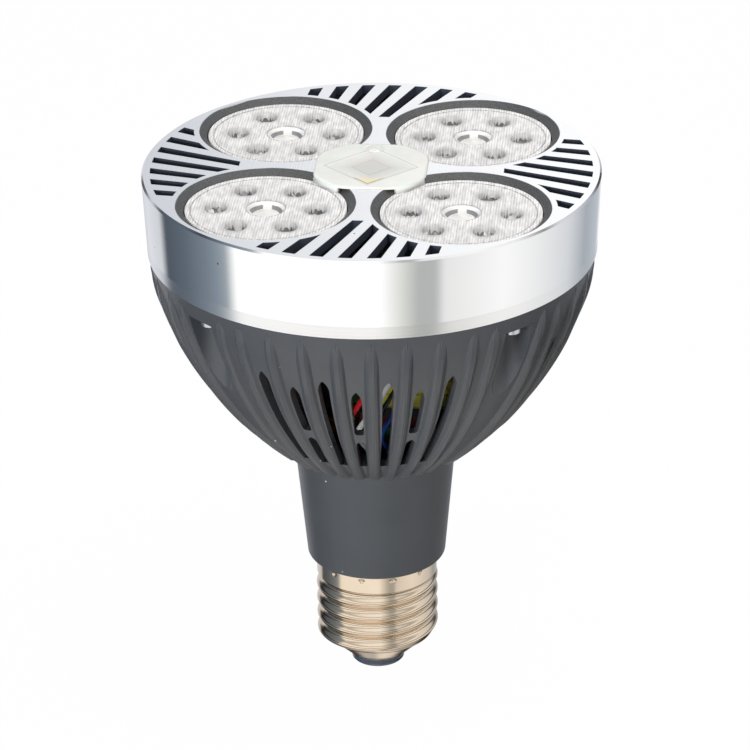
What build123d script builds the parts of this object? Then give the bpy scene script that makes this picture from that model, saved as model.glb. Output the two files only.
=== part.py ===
from build123d import *
import os
from math import asin, cos, radians, sin, sqrt, tan

# LED reflector lamp of the PAR30 size with an E27 screw cap. The origin is the lowest point of the centre
# contact, +Z runs up the axis to the light-giving face, and the four lens wells lie on the diagonals.

# Stack of the outer casings along the axis
screw_cap_height = 27.0
neck_height = 27.3
bowl_height = 44.8
face_cap_height = 17.0

# Face cap, die-cast aluminium
face_radius = 47.5
face_cap_foot_radius = 46.8
face_cap_wall = 1.6
face_thickness = 2.0
face_edge_chamfer = 0.4
quadrants = 4

# Lens wells of the face cap
well_pitch_radius = 28.0
well_mouth_radius = 18.33
well_bore_radius = 16.7
well_wall = 1.3
well_depth = 12.0

# Air slots of the face: seven in each zone between two wells, their sides converging on a pole
slot_count = 7
slot_pole_radius = 48.0
slot_pole_turn = 147.76
slot_pole_pitch = 3.5
slot_half_angle = 0.86
slot_middle_turn = -1.8
slot_outer_radius = 45.7
slot_inner_radius = 27.4
slot_web = 1.1

# Lenses, one for each well
lens_radius = 16.4
lens_recess = 1.05
lens_flange = 1.5
lens_skirt_wall = 1.0
cell_count = 6
cell_pitch_radius = 10.2
cell_top_radius = 5.0
cell_foot_radius = 3.0
cell_foot_clearance = 0.3
dimple_radius = 2.15
dimple_foot_radius = 1.6
dimple_depth = 2.4
centre_ring_radius = 4.0
centre_cone_radius = 3.0
centre_depth = 1.3

# Lamp boards and their emitters
board_radius = 12.6
board_thickness = 1.2
emitter_side = 3.0
emitter_height = 0.9
board_screw_pitch_radius = 5.3
board_screw_head_radius = 1.8
board_screw_head_height = 1.0
board_screw_radius = 0.9
board_screw_length = 3.0

# Heat sink under the boards
sink_radius = 40.2
sink_plate = 3.0
sink_notch_radius = 9.0
sink_notch_centre = 36.0
fin_count = 16
fin_thickness = 1.2
fin_height = 7.0
fin_inner_radius = 9.0
fin_outer_radius = 24.0
pillar_radius = 3.2
lead_hole_clearance = 0.3

# Clamp over the middle of the face, its insert and its screw
clamp_flat = 11.7
clamp_diagonal = 12.6
clamp_edge_height = 0.7
clamp_height = 1.5
clamp_ridge = 9.6
clamp_ridge_width = 0.6
clamp_pocket = 4.3
clamp_pocket_depth = 0.5
clamp_stem_radius = 4.0
clamp_pad_width = 6.0
clamp_pad_inner = 11.75
clamp_boss_radius = 1.6
clamp_boss_centre = 9.4
insert_radius = 2.6
insert_length = 6.0
clamp_screw_radius = 1.5
clamp_screw_head_radius = 3.0
clamp_screw_head_height = 2.0

# Cooling fan
fan_gap = 2.0
fan_side = 50.0
fan_height = 10.0
fan_corner_radius = 3.0
fan_hole_pitch = 40.0
fan_bore_radius = 23.5
fan_base_radius = 10.0
fan_base_thickness = 1.4
fan_strut_width = 2.2
fan_strut_bite = 0.5
fan_strut_turn = 22.5
hub_radius = 9.5
hub_wall = 0.6
hub_top = 1.2
hub_cap = 0.4
hub_rise = 1.0
hub_skirt_gap = 0.6
blade_count = 7
blade_thickness = 0.8
blade_root_pitch = 48.0
blade_tip_pitch = 32.0
blade_chord = 8.6
blade_tip_clearance = 0.8
blade_trim = 1.0
magnet_thickness = 1.2
magnet_height = 4.5
stator_gap = 0.5
stator_height = 4.0
stator_pole_width = 3.4
stator_yoke = 1.0
stator_shoe = 1.2
stator_shoe_spread = 1.4
shaft_radius = 1.0
shaft_clearance = 0.03
shaft_tail = 0.9
bearing_radius = 2.6
bearing_tube_wall = 0.6
bearing_length = 5.0
clip_radius = 2.0
clip_thickness = 0.4
fan_screw_radius = 1.5
fan_screw_head_radius = 2.8
fan_screw_head_height = 2.0
fan_screw_bite = 8.0

# Vented bowl, moulded plastic
bowl_rim_radius = 46.7
bowl_waist_radius = 38.0
bowl_waist_drop = 23.0
bowl_lip_radius = 19.9
bowl_wall = 2.0
bowl_floor = 1.8
rib_crown_width = 1.0
rib_width = 2.1
rib_root_width = 4.4
rib_height = 0.9
rib_shoulder = 0.55
rib_root = 0.9
rib_dive_radius = 22.0
rib_dive_drop = 9.0
rib_top_drop = 1.5
rib_run_out = 1.0
row_rib_count = 8
rib_pitch = 8.8
flank_rib_turn = 37.0
seam_turn = 34.0

# Air slots of the bowl, in degrees from the middle of each zone and in drops below the bowl's rim
vent_turns_split = (0.0, -17.6, 17.6)
vent_turns_long = (-8.8, 8.8, -26.4, 26.4)
vent_top_width = 2.3
vent_foot_width = 1.65
vent_long_top = 11.4
vent_split_top = 14.0
vent_bridge_top = 27.0
vent_bridge_foot = 29.4
vent_foot = 39.0
vent_tip = 2.8
vent_bridge_tip = 1.3
vent_corner = 0.4
vent_reach = 4.0

# Screw pockets of the bowl and the screws that hold it to the face cap
pocket_radius = 3.7
pocket_pitch_radius = 42.7
pocket_wall = 1.5
pocket_ceiling = 3.7
pocket_foot_drop = 23.0
bowl_screw_pitch_radius = 43.0
bowl_screw_radius = 1.25
bowl_screw_clearance = 0.2
bowl_screw_head_radius = 1.9
bowl_screw_head_height = 1.5
bowl_screw_bite = 4.2
thread_clearance = 0.05
lug_radius = 2.6
lug_height = 5.0

# Neck sleeve
neck_foot_radius = 14.85
neck_taper = 5.22
neck_wall = 1.8
neck_edge_fillet = 0.4
neck_flange_radius = 18.3
neck_flange = 1.5
neck_seat_clearance = 0.15
neck_floor = 1.6
spigot_length = 15.0
spigot_wall = 1.6
rail_width = 1.6
rail_grip = 1.2

# Screw shell of the E27 cap, insulator and centre contact
shell_band_radius = 13.0
shell_crest_radius = 13.15
shell_root_radius = 12.2
shell_wall = 0.3
shell_band_height = 5.1
thread_pitch = 3.629
thread_turns = 4
shell_foot_radius = 9.06
shell_foot = 3.8
shell_cone_drop = 3.0
shell_band_edge = 0.6
thread_run_out = 0.4
spigot_clearance = 0.1
insulator_foot = 0.6
insulator_foot_radius = 6.0
insulator_rise = 3.0
insulator_bulge = 0.6
insulator_spigot = 1.0
contact_radius = 5.0
contact_edge = 0.4
contact_stem_radius = 1.5
contact_stem_length = 6.0

# Driver board and what is soldered to it
driver_front = 2.2
driver_thickness = 1.6
driver_top_drop = 20.0
driver_waist_drop = 35.0
driver_throat_drop = 40.0
driver_half_width = 19.0
driver_tail_half_width = 12.3
driver_foot_clearance = 0.3
coil_size = (16.0, 16.5, 9.0)
coil_centre_x = 9.5
coil_top_drop = 21.5
coil_corner = 1.5
coil_stand_off = 1.5
core_leg = 2.2
core_yoke = 2.6
core_depth = 15.0
core_stem = 5.0
bobbin_size = (19.0, 15.0, 3.6)
bobbin_shift = 2.0
output_capacitor_radius = 5.0
output_capacitor_height = 14.0
output_capacitor_x = -12.0
input_capacitor_radius = 5.4
input_capacitor_height = 15.0
input_capacitor_drop = 53.0
can_edge = 0.5
choke_radius = 4.0
choke_height = 7.0
choke_x = -6.5
choke_drop = 38.5
choke_waist_radius = 3.4
choke_flange = 1.0
film_capacitor_size = (10.0, 5.0, 10.0)
film_capacitor_drop = 47.0
rectifier_size = (8.0, 2.6, 7.0)
rectifier_drop = 60.0
fuse_radius = 1.6
fuse_height = 8.0
fuse_waist_radius = 1.4
fuse_cap_height = 1.5
fuse_x = 9.0
fuse_drop = 56.0
chip_size = (5.0, 1.5, 6.0)
chip_x = 9.0
chip_drop = 30.0
transistor_size = (10.0, 4.0, 15.0)
transistor_x = -3.0
transistor_drop = 23.0

# Leads: conductor with its sleeve, by gauge
thick_lead = 1.2
thin_lead = 1.0
fan_lead_gauge = 0.8
mains_lead_gauge = 1.2

# Heights that follow from the stack
neck_foot = screw_cap_height
bowl_foot = neck_foot + neck_height
bowl_rim = bowl_foot + bowl_height
face_z = bowl_rim + face_cap_height
sink_top = face_z - well_depth
sink_foot = sink_top - sink_plate
board_top = sink_top + board_thickness
fan_top = sink_foot - fin_height - fan_gap
fan_foot = fan_top - fan_height
driver_back = driver_front + driver_thickness
diagonals = [45 + 90 * k for k in range(quadrants)]
zones = [90 * k for k in range(quadrants)]
parts = {}


def polar(radius, turn, z=0):
    """Point at a radius and a turn in degrees about the lamp's axis."""
    return (radius * cos(radians(turn)), radius * sin(radians(turn)), z)


def disc(radius, foot, top, x=0, y=0):
    """Upright cylinder between two heights."""
    return Pos(x, y, (foot + top) / 2) * Cylinder(radius, top - foot)


def ring(outer, inner, foot, top, x=0, y=0):
    """Upright tube between two heights."""
    return disc(outer, foot, top, x, y) - disc(inner, foot, top, x, y)


def block(low, high):
    """Box between two opposite corners."""
    size = [b - a for a, b in zip(low, high)]
    middle = [(a + b) / 2 for a, b in zip(low, high)]
    return Pos(*middle) * Box(*size)


def turned(points):
    """Solid turned about the axis from its half section, given as (radius, height) points."""
    return revolve(make_face(Plane.XZ * Polyline(*points, close=True)), Axis.Z)


def around(shape, turns):
    """Copies of a shape turned about the axis."""
    return [Rot(0, 0, turn) * shape for turn in turns]


def face_cap():
    """Face plate, skirt and four lens wells of the die-cast cap, with its air slots and screw lugs."""
    wall_foot = face_cap_foot_radius - face_cap_wall
    wall_top = face_radius - face_cap_wall
    body = turned([
        (0, face_z), (face_radius - face_edge_chamfer, face_z), (face_radius, face_z - face_edge_chamfer),
        (face_cap_foot_radius, bowl_rim), (wall_foot, bowl_rim), (wall_top, face_z - face_thickness),
        (0, face_z - face_thickness)])
    skirt = turned([(0, face_z), (wall_top + 0.1, face_z), (wall_foot + 0.1, bowl_rim), (0, bowl_rim)])
    wells = [disc(well_bore_radius + well_wall, sink_top, face_z, *polar(well_pitch_radius, t)[:2]) & skirt
             for t in diagonals]
    lugs = [disc(lug_radius, bowl_rim, bowl_rim + lug_height, *polar(bowl_screw_pitch_radius, t)[:2]) & skirt
            for t in diagonals]
    body = body + wells + lugs
    bore = disc(well_bore_radius, sink_top, face_z)
    mouth_foot = face_z - lens_recess
    mouth = Pos(0, 0, (mouth_foot + face_z) / 2) * Cone(well_bore_radius, well_mouth_radius, lens_recess)
    pilot = disc(bowl_screw_radius + thread_clearance, bowl_rim, bowl_rim + lug_height)
    for t in diagonals:
        body -= Pos(*polar(well_pitch_radius, t)) * bore
        body -= Pos(*polar(well_pitch_radius, t)) * mouth
        body -= Pos(*polar(bowl_screw_pitch_radius, t)) * pilot
    body -= disc(clamp_stem_radius + thread_clearance, face_z - face_thickness, face_z)
    slots = face_slots()
    return body - around(slots, zones)


def face_slots():
    """The seven air slots of the zone that faces -Y, as cutters through the face plate."""
    field = Circle(slot_outer_radius) - Circle(slot_inner_radius)
    for t in diagonals:
        field -= Pos(*polar(well_pitch_radius, t)[:2]) * Circle(well_mouth_radius + slot_web)
    pole = Vector(*polar(slot_pole_radius, slot_pole_turn - 90))
    aim = Vector(*polar(slot_outer_radius, slot_middle_turn - 90)) - pole
    aim_turn = Vector(1, 0, 0).get_signed_angle(aim, Vector(0, 0, 1))
    reach = slot_pole_radius + 2 * slot_outer_radius
    slots = []
    for k in range(slot_count):
        turn = aim_turn + (k - slot_count // 2) * slot_pole_pitch
        sides = [pole + Vector(*polar(reach, turn + side)) for side in (-slot_half_angle, slot_half_angle)]
        wedge = make_face(Polyline(pole, *sides, close=True)) & field
        near = [f for f in wedge.faces() if f.center().Y < -slot_inner_radius * sin(radians(45))]
        slots += [Pos(0, 0, face_z - face_thickness) * extrude(f, face_thickness) for f in near]
    return Compound(slots)


def lens():
    """Seven-cell lens: flanged disc with a skirt to the heat sink, a cone over each emitter and dimples."""
    top = face_z - lens_recess
    flange_foot = top - lens_flange
    foot = board_top + emitter_height + cell_foot_clearance
    body = disc(lens_radius, flange_foot, top)
    body += ring(lens_radius, lens_radius - lens_skirt_wall, sink_top, flange_foot)
    cell = Pos(0, 0, (foot + flange_foot) / 2) * Cone(cell_foot_radius, cell_top_radius, flange_foot - foot)
    dimple = Pos(0, 0, top - dimple_depth / 2) * Cone(dimple_foot_radius, dimple_radius, dimple_depth)
    body += cell
    for k in range(cell_count):
        place = Pos(*polar(cell_pitch_radius, 360 / cell_count * k))
        body += place * cell
        body -= place * dimple
    hollow = turned([(0, top - centre_depth / 2), (centre_cone_radius, top - centre_depth),
                     (centre_ring_radius, top), (0, top)])
    return body - hollow


def emitters():
    """The seven emitters of one lamp board."""
    places = [(0, 0, 0)] + [polar(cell_pitch_radius, 360 / cell_count * k) for k in range(cell_count)]
    half = emitter_side / 2
    chip = block((-half, -half, board_top), (half, half, board_top + emitter_height))
    return [Pos(*p) * chip for p in places]


def board_screw_places():
    return [polar(board_screw_pitch_radius, t) for t in (30, 210)]


def lamp_board():
    """Round aluminium-core board of one well."""
    body = disc(board_radius, sink_top, board_top)
    hole = disc(board_screw_radius + thread_clearance, sink_top, board_top)
    return body - [Pos(*p) * hole for p in board_screw_places()]


def heat_sink():
    """Black plate under the boards, notched for the air, with fins and four pillars for the fan."""
    body = disc(sink_radius, sink_foot, sink_top)
    notch = disc(sink_notch_radius, sink_foot, sink_top, sink_notch_centre)
    body -= around(notch, zones)
    half = fin_thickness / 2
    fin = block((fin_inner_radius, -half, sink_foot - fin_height), (fin_outer_radius, half, sink_foot))
    body += around(fin, [360 / fin_count * (k + 0.5) for k in range(fin_count)])
    half_pitch = fan_hole_pitch / 2
    pillar = disc(pillar_radius, fan_top, sink_foot, half_pitch, half_pitch)
    pilot_radius = fan_screw_radius + thread_clearance
    pilot = disc(pilot_radius, fan_top, fan_top + fan_screw_bite, half_pitch, half_pitch)
    body += around(pillar, zones)
    body -= around(pilot, zones)
    body -= disc(clamp_screw_radius + bowl_screw_clearance, sink_foot, sink_top)
    screw_hole = disc(board_screw_radius + thread_clearance, board_top - board_screw_length, sink_top)
    for t in diagonals:
        centre = Pos(*polar(well_pitch_radius, t))
        body -= [centre * Pos(*p) * screw_hole for p in board_screw_places()]
    for route, gauge in lamp_leads.values():
        x, y, _ = route[0]
        body -= disc(gauge / 2 + lead_hole_clearance, sink_foot, sink_top, x, y)
    return body


def board_screws():
    """Two pan-head screws for each lamp board."""
    screw = disc(board_screw_head_radius, board_top, board_top + board_screw_head_height)
    screw += disc(board_screw_radius, board_top - board_screw_length, board_top)
    pair = [Pos(*p) * screw for p in board_screw_places()]
    return [Pos(*polar(well_pitch_radius, t)) * one for t in diagonals for one in pair]


def octagon():
    """Outline of the clamp: flats towards the axes, and longer ones over the lenses."""
    square = Rectangle(2 * clamp_flat, 2 * clamp_flat)
    return square & (Rot(0, 0, 45) * Rectangle(2 * clamp_diagonal, 2 * clamp_diagonal))


def diamond(half_diagonal, z):
    """Square with its corners towards the axes, at a height."""
    side = half_diagonal * sqrt(2)
    return Pos(0, 0, z) * Rot(0, 0, 45) * Rectangle(side, side)


def lens_clamp():
    """Frosted clamp over the inner edges of the four lenses, with a dished square top and a hollow stem."""
    edge = face_z + clamp_edge_height
    crown = face_z + clamp_height
    body = Pos(0, 0, face_z) * extrude(octagon(), clamp_edge_height)
    body += loft([Pos(0, 0, edge) * octagon(), diamond(clamp_ridge, crown)])
    floor = crown - clamp_pocket_depth
    body -= loft([diamond(clamp_ridge - clamp_ridge_width, crown), diamond(clamp_pocket, floor)])
    body -= extrude(diamond(clamp_pocket, floor), -clamp_pocket_depth)
    boss = disc(clamp_boss_radius, edge, crown, 0, clamp_boss_centre)
    body += boss
    body += disc(clamp_stem_radius, sink_top + lead_hole_clearance, face_z)
    pad = block((clamp_pad_inner, -clamp_pad_width / 2, face_z - lens_recess),
                (clamp_diagonal, clamp_pad_width / 2, face_z))
    body += around(pad, diagonals)
    foot = sink_top + lead_hole_clearance
    return body - disc(insert_radius, foot, foot + insert_length)


def clamp_insert():
    """Brass threaded insert in the clamp's stem."""
    foot = sink_top + lead_hole_clearance
    return ring(insert_radius, clamp_screw_radius + thread_clearance, foot, foot + insert_length)


def clamp_screw():
    """Pan-head screw that pulls the clamp, the lenses and the face cap down to the heat sink."""
    body = disc(clamp_screw_head_radius, sink_foot - clamp_screw_head_height, sink_foot)
    return body + disc(clamp_screw_radius, sink_foot, sink_top + insert_length)


def fan_corners(shape):
    half_pitch = fan_hole_pitch / 2
    return [Pos(x, y, 0) * shape for x in (-half_pitch, half_pitch) for y in (-half_pitch, half_pitch)]


def fan_frame():
    """Square duct with its motor base on four struts and the tube for the bearing."""
    outline = RectangleRounded(fan_side, fan_side, fan_corner_radius) - Circle(fan_bore_radius)
    body = Pos(0, 0, fan_foot) * extrude(outline, fan_height)
    base_top = fan_foot + fan_base_thickness
    half = fan_strut_width / 2
    strut = block((0, -half, fan_foot), (fan_bore_radius + fan_strut_bite, half, base_top))
    body += around(strut, [turn + fan_strut_turn for turn in zones])
    body += disc(fan_base_radius, fan_foot, base_top)
    body += disc(bearing_radius + bearing_tube_wall, fan_foot, base_top + bearing_length)
    body -= disc(bearing_radius, fan_foot, base_top + bearing_length)
    hole = disc(fan_screw_radius + bowl_screw_clearance, fan_foot, fan_top)
    return body - fan_corners(hole)


def fan_bearing():
    """Sintered sleeve bearing."""
    foot = fan_foot + fan_base_thickness
    return ring(bearing_radius, shaft_radius + shaft_clearance, foot, foot + bearing_length)


def fan_impeller():
    """Hub cup with seven twisted blades, moulded as one piece."""
    crown = fan_top - hub_rise
    skirt_foot = fan_foot + fan_base_thickness + hub_skirt_gap
    body = disc(hub_radius, skirt_foot, crown)
    body -= disc(hub_radius - hub_wall, skirt_foot, crown - hub_top)
    middle = (skirt_foot + crown) / 2
    tip = fan_bore_radius - blade_tip_clearance

    def section(radius, pitch):
        return Plane(origin=(radius, 0, middle), x_dir=(0, cos(radians(pitch)), sin(radians(pitch))),
                     z_dir=(1, 0, 0)) * Rectangle(blade_chord, blade_thickness)

    reach = tip + blade_trim
    blade = loft([section(hub_radius - hub_wall / 2, blade_root_pitch), section(reach, blade_tip_pitch)])
    blade &= disc(tip, skirt_foot, crown)
    body += around(blade, [360 / blade_count * k for k in range(blade_count)])
    return body - disc(shaft_radius, skirt_foot, crown - hub_cap)


def fan_magnet():
    """Ring magnet bonded inside the hub cup."""
    outer = hub_radius - hub_wall
    top = fan_top - hub_rise - hub_top
    return ring(outer, outer - magnet_thickness, top - magnet_height, top)


def fan_stator():
    """Four wound poles on the bearing tube."""
    outer = hub_radius - hub_wall - magnet_thickness - stator_gap
    inner = bearing_radius + bearing_tube_wall
    foot = fan_foot + fan_base_thickness
    body = ring(inner + stator_yoke, inner, foot, foot + stator_height)
    half = stator_pole_width / 2
    top = foot + stator_height
    pole = block((inner + stator_yoke / 2, -half, foot), (outer - stator_shoe / 2, half, top))
    spread = half * stator_shoe_spread
    shoe = block((outer - stator_shoe, -spread, foot), (outer, spread, top)) & disc(outer, foot, top)
    return body + around(pole + shoe, zones)


def fan_shaft():
    """Steel shaft pressed into the hub, running through the bearing."""
    top = fan_top - hub_rise - hub_cap
    foot = fan_foot + fan_base_thickness - shaft_tail
    return disc(shaft_radius, foot, top)


def fan_clip():
    """Retaining washer on the shaft's tail."""
    foot = fan_foot + fan_base_thickness - shaft_tail
    return ring(clip_radius, shaft_radius, foot, foot + clip_thickness)


def fan_screws():
    """Four screws from below through the frame into the heat sink's pillars."""
    screw = disc(fan_screw_head_radius, fan_foot - fan_screw_head_height, fan_foot)
    screw += disc(fan_screw_radius, fan_foot, fan_top + fan_screw_bite)
    return fan_corners(screw)


def bowl_arc(offset=0.0):
    """Meridian of the bowl: centre radius, centre height and arc radius, moved in or out by an offset."""
    lip_drop = bowl_height
    chord = Edge.make_three_point_arc((bowl_rim_radius, 0), (bowl_waist_radius, -bowl_waist_drop),
                                      (bowl_lip_radius, -lip_drop))
    centre = chord.arc_center
    return centre.X, bowl_rim + centre.Y, chord.radius + offset


def arc_radius(z, offset=0.0):
    """Radius of the bowl's meridian at a height."""
    r0, z0, arc = bowl_arc(offset)
    return r0 + sqrt(arc ** 2 - (z - z0) ** 2)


def bowl_shell(offset, foot, top):
    """Solid of revolution inside the bowl's meridian between two heights."""
    middle = (foot + top) / 2
    side = ThreePointArc((arc_radius(top, offset), top), (arc_radius(middle, offset), middle),
                         (arc_radius(foot, offset), foot))
    rest = Polyline((arc_radius(foot, offset), foot), (0, foot), (0, top), (arc_radius(top, offset), top))
    return Rot(0, 0, seam_turn) * revolve(make_face(Plane.XZ * (side + rest)), Axis.Z)


def bowl_rib():
    """One rib on the +X side: a rounded ridge along the bowl that dives into the wall below the rim."""
    r0, z0, arc = bowl_arc()
    dive = asin((bowl_rim - rib_dive_drop - z0) / arc)
    start = Vector(r0 + arc * cos(dive), 0, z0 + arc * sin(dive))
    inward = Vector(cos(dive), 0, sin(dive))
    hub = start - inward * rib_dive_radius
    top_turn = dive + (rib_dive_drop - rib_top_drop + rib_run_out) / rib_dive_radius
    rise = (dive + top_turn) / 2
    upper = [hub + Vector(cos(a), 0, sin(a)) * rib_dive_radius for a in (top_turn, rise, dive)]
    foot = asin((bowl_foot - 1 - z0) / arc)
    half = (dive + foot) / 2
    lower = [Vector(r0 + arc * cos(a), 0, z0 + arc * sin(a)) for a in (half, foot)]
    path = ThreePointArc(*upper) + ThreePointArc(upper[2], *lower)
    tangent = Vector(sin(top_turn), 0, -cos(top_turn))
    outward = Vector(cos(top_turn), 0, sin(top_turn))
    plane = Plane(origin=upper[0], x_dir=(0, 1, 0), z_dir=tangent)
    sign = 1 if plane.y_dir.dot(outward) > 0 else -1
    crown = [(rib_crown_width / 2, rib_height), (rib_width / 2, rib_shoulder),
             (rib_root_width / 2, -rib_root)]
    outline = [(-x, y) for x, y in reversed(crown)] + crown
    section = plane * make_face(Polyline(*[(x, sign * y) for x, y in outline], close=True))
    return sweep(section, path=path)


def vent(top_drop, foot_drop, tip):
    """Cutter for one air slot of the bowl on the +X side, pointed at the top and narrower at the foot."""
    top, foot = bowl_rim - top_drop, bowl_rim - foot_drop
    slope = (vent_top_width - vent_foot_width) / 2 / (vent_foot - vent_long_top)
    top_half = vent_top_width / 2 - slope * (top_drop - vent_long_top)
    foot_half = vent_top_width / 2 - slope * (foot_drop - vent_long_top)
    shoulder = top - tip
    bow = (tip ** 2 + top_half ** 2) / (2 * top_half)
    half_turn = asin(tip / bow) / 2
    flank = (top_half - bow * (1 - cos(half_turn)), shoulder + bow * sin(half_turn))
    outline = Polyline((top_half, shoulder), (foot_half, foot + vent_corner),
                       (foot_half - vent_corner, foot), (vent_corner - foot_half, foot),
                       (-foot_half, foot + vent_corner), (-top_half, shoulder))
    outline += ThreePointArc((-top_half, shoulder), (-flank[0], flank[1]), (0, top))
    outline += ThreePointArc((0, top), flank, (top_half, shoulder))
    face = Plane.YZ * make_face(outline)
    inner = arc_radius(foot, -bowl_wall) - vent_reach
    return Pos(inner, 0, 0) * extrude(face, face_radius - inner)


def vent_bowl():
    """Ribbed bowl with its air slots and four screw pockets."""
    body = bowl_shell(0, bowl_foot, bowl_rim)
    hollow = bowl_shell(-bowl_wall, bowl_foot + bowl_floor, bowl_rim)
    pocket_foot = bowl_rim - pocket_foot_drop
    core = [disc(pocket_radius + pocket_wall, pocket_foot, bowl_rim, *polar(pocket_pitch_radius, t)[:2])
            for t in diagonals]
    inner = hollow - core
    turns = []
    for zone in zones:
        turns += [zone + rib_pitch * (k - (row_rib_count - 1) / 2) for k in range(row_rib_count)]
        turns += [zone - flank_rib_turn, zone + flank_rib_turn]
    trim = disc(bowl_rim_radius + 2, bowl_foot, bowl_rim)
    rib = bowl_rib() & trim
    body = body + around(rib, turns)
    body -= inner
    body -= disc(neck_radius(bowl_foot + bowl_floor) + neck_seat_clearance, bowl_foot, bowl_foot + bowl_floor)
    pocket_floor, ceiling = pocket_foot - pocket_radius, bowl_rim - pocket_ceiling
    pocket = disc(pocket_radius, pocket_floor, ceiling)
    mouth = face_radius - pocket_pitch_radius
    pocket += block((0, -pocket_radius, pocket_floor), (mouth, pocket_radius, ceiling))
    hole = disc(bowl_screw_radius + bowl_screw_clearance, ceiling, bowl_rim)
    for t in diagonals:
        body -= Pos(*polar(pocket_pitch_radius, t)) * Rot(0, 0, t) * pocket
        body -= Pos(*polar(bowl_screw_pitch_radius, t)) * hole
    long_vent = vent(vent_long_top, vent_foot, vent_tip)
    upper_vent = vent(vent_split_top, vent_bridge_top, vent_tip)
    lower_vent = vent(vent_bridge_foot, vent_foot, vent_bridge_tip)
    for zone in zones:
        body -= around(long_vent, [zone + t for t in vent_turns_long])
        body -= around(upper_vent, [zone + t for t in vent_turns_split])
        body -= around(lower_vent, [zone + t for t in vent_turns_split])
    return body


def bowl_screws():
    """Four screws from the pockets up into the face cap's lugs."""
    ceiling = bowl_rim - pocket_ceiling
    screw = disc(bowl_screw_head_radius, ceiling - bowl_screw_head_height, ceiling)
    screw += disc(bowl_screw_radius, ceiling, bowl_rim + bowl_screw_bite)
    return [Pos(*polar(bowl_screw_pitch_radius, t)) * screw for t in diagonals]


def neck_radius(z):
    """Outer radius of the tapered neck at a height."""
    return neck_foot_radius + (z - neck_foot) * tan(radians(neck_taper))


def neck_sleeve():
    """Tapered neck with the flange that seats on the bowl's floor, board rails and the shell's spigot."""
    seat = bowl_foot + bowl_floor
    top = seat + neck_flange
    floor_top = neck_foot + neck_floor
    spigot = shell_root_radius - shell_wall - spigot_clearance
    spigot_foot = neck_foot - spigot_length
    bore = spigot - spigot_wall
    body = turned([
        (bore, top), (neck_flange_radius, top), (neck_flange_radius, seat), (neck_radius(seat), seat),
        (neck_foot_radius, neck_foot), (spigot, neck_foot), (spigot, spigot_foot), (bore, spigot_foot)])
    edge = body.edges().filter_by(GeomType.CIRCLE).filter_by_position(Axis.Z, neck_foot, neck_foot)
    body = fillet(edge.sort_by(SortBy.RADIUS)[-1], neck_edge_fillet)
    hollow = turned([(0, top), (neck_radius(top) - neck_wall, top),
                     (neck_radius(floor_top) - neck_wall, floor_top), (0, floor_top)])
    lane = driver_thickness + 2 * neck_seat_clearance
    low = driver_front - neck_seat_clearance
    high = low + lane
    reach = neck_radius(top)
    gap = driver_tail_half_width - rail_grip
    rails = block((-reach, low - rail_width, floor_top), (reach, high + rail_width, top))
    rails -= block((-reach, low, floor_top), (reach, high, top))
    rails -= block((-gap, low - rail_width, floor_top), (gap, high + rail_width, top))
    return body - (hollow - rails)


def screw_shell():
    """Thin nickel-plated shell of the E27 cap: plain band, knuckle thread drawn as rings, and cone."""
    band_foot = neck_foot - shell_band_height
    middle = (shell_crest_radius + shell_root_radius) / 2
    cone_top = shell_foot + shell_cone_drop

    def side(wall):
        line = Polyline((shell_band_radius - wall, neck_foot),
                        (shell_band_radius - wall, band_foot + shell_band_edge), (middle - wall, band_foot))
        z = band_foot
        quarter = thread_pitch / 4
        for k in range(thread_turns):
            line += ThreePointArc((middle - wall, z), (shell_root_radius - wall, z - quarter),
                                  (middle - wall, z - 2 * quarter))
            z -= 2 * quarter
            line += ThreePointArc((middle - wall, z), (shell_crest_radius - wall, z - quarter),
                                  (middle - wall, z - 2 * quarter))
            z -= 2 * quarter
        return line + Polyline((middle - wall, z), (shell_root_radius - thread_run_out - wall, cone_top),
                               (shell_foot_radius - wall, shell_foot))

    ends = Line((shell_band_radius, neck_foot), (shell_band_radius - shell_wall, neck_foot))
    ends += Line((shell_foot_radius, shell_foot), (shell_foot_radius - shell_wall, shell_foot))
    return revolve(make_face(Plane.XZ * (side(0) + side(shell_wall) + ends)), Axis.Z)


def base_insulator():
    """Dark insulating dome that closes the shell round the centre contact."""
    foot_edge = insulator_foot
    seat = shell_foot_radius
    inner = shell_foot_radius - shell_wall - insulator_spigot
    shoulder = (shell_foot + insulator_foot) / 2
    side = ThreePointArc((seat, shell_foot), ((seat + insulator_foot_radius) / 2 + insulator_bulge, shoulder),
                         (insulator_foot_radius, foot_edge))
    rest = Polyline((insulator_foot_radius, foot_edge), (0, foot_edge), (0, shell_foot + insulator_rise),
                    (inner, shell_foot + insulator_rise), (inner, shell_foot), (seat, shell_foot))
    body = revolve(make_face(Plane.XZ * (side + rest)), Axis.Z)
    return body - disc(contact_stem_radius, foot_edge, shell_foot + insulator_rise)


def centre_contact():
    """Brass button of the centre contact with its stem."""
    rim = [(contact_radius - contact_edge, 0), (contact_radius, insulator_foot)]
    body = turned([(0, 0), *rim, (0, insulator_foot)])
    return body + disc(contact_stem_radius, insulator_foot, insulator_foot + contact_stem_length)


def driver_board():
    """Board on edge in the bowl and neck, wide above and narrowed to pass the neck's rails."""
    top, waist = bowl_rim - driver_top_drop, bowl_rim - driver_waist_drop
    throat, foot = bowl_rim - driver_throat_drop, neck_foot + neck_floor + driver_foot_clearance
    half, tail = driver_half_width, driver_tail_half_width
    outline = Polyline((-half, top), (half, top), (half, waist), (tail, throat), (tail, foot), (-tail, foot),
                       (-tail, throat), (-half, waist), close=True)
    return Pos(0, driver_back, 0) * extrude(Plane.XZ * make_face(outline), driver_thickness)


def on_front(size, x, top):
    """Block seated on the front of the driver board."""
    wide, deep, high = size
    return block((x - wide / 2, driver_front - deep, top - high), (x + wide / 2, driver_front, top))


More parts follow.
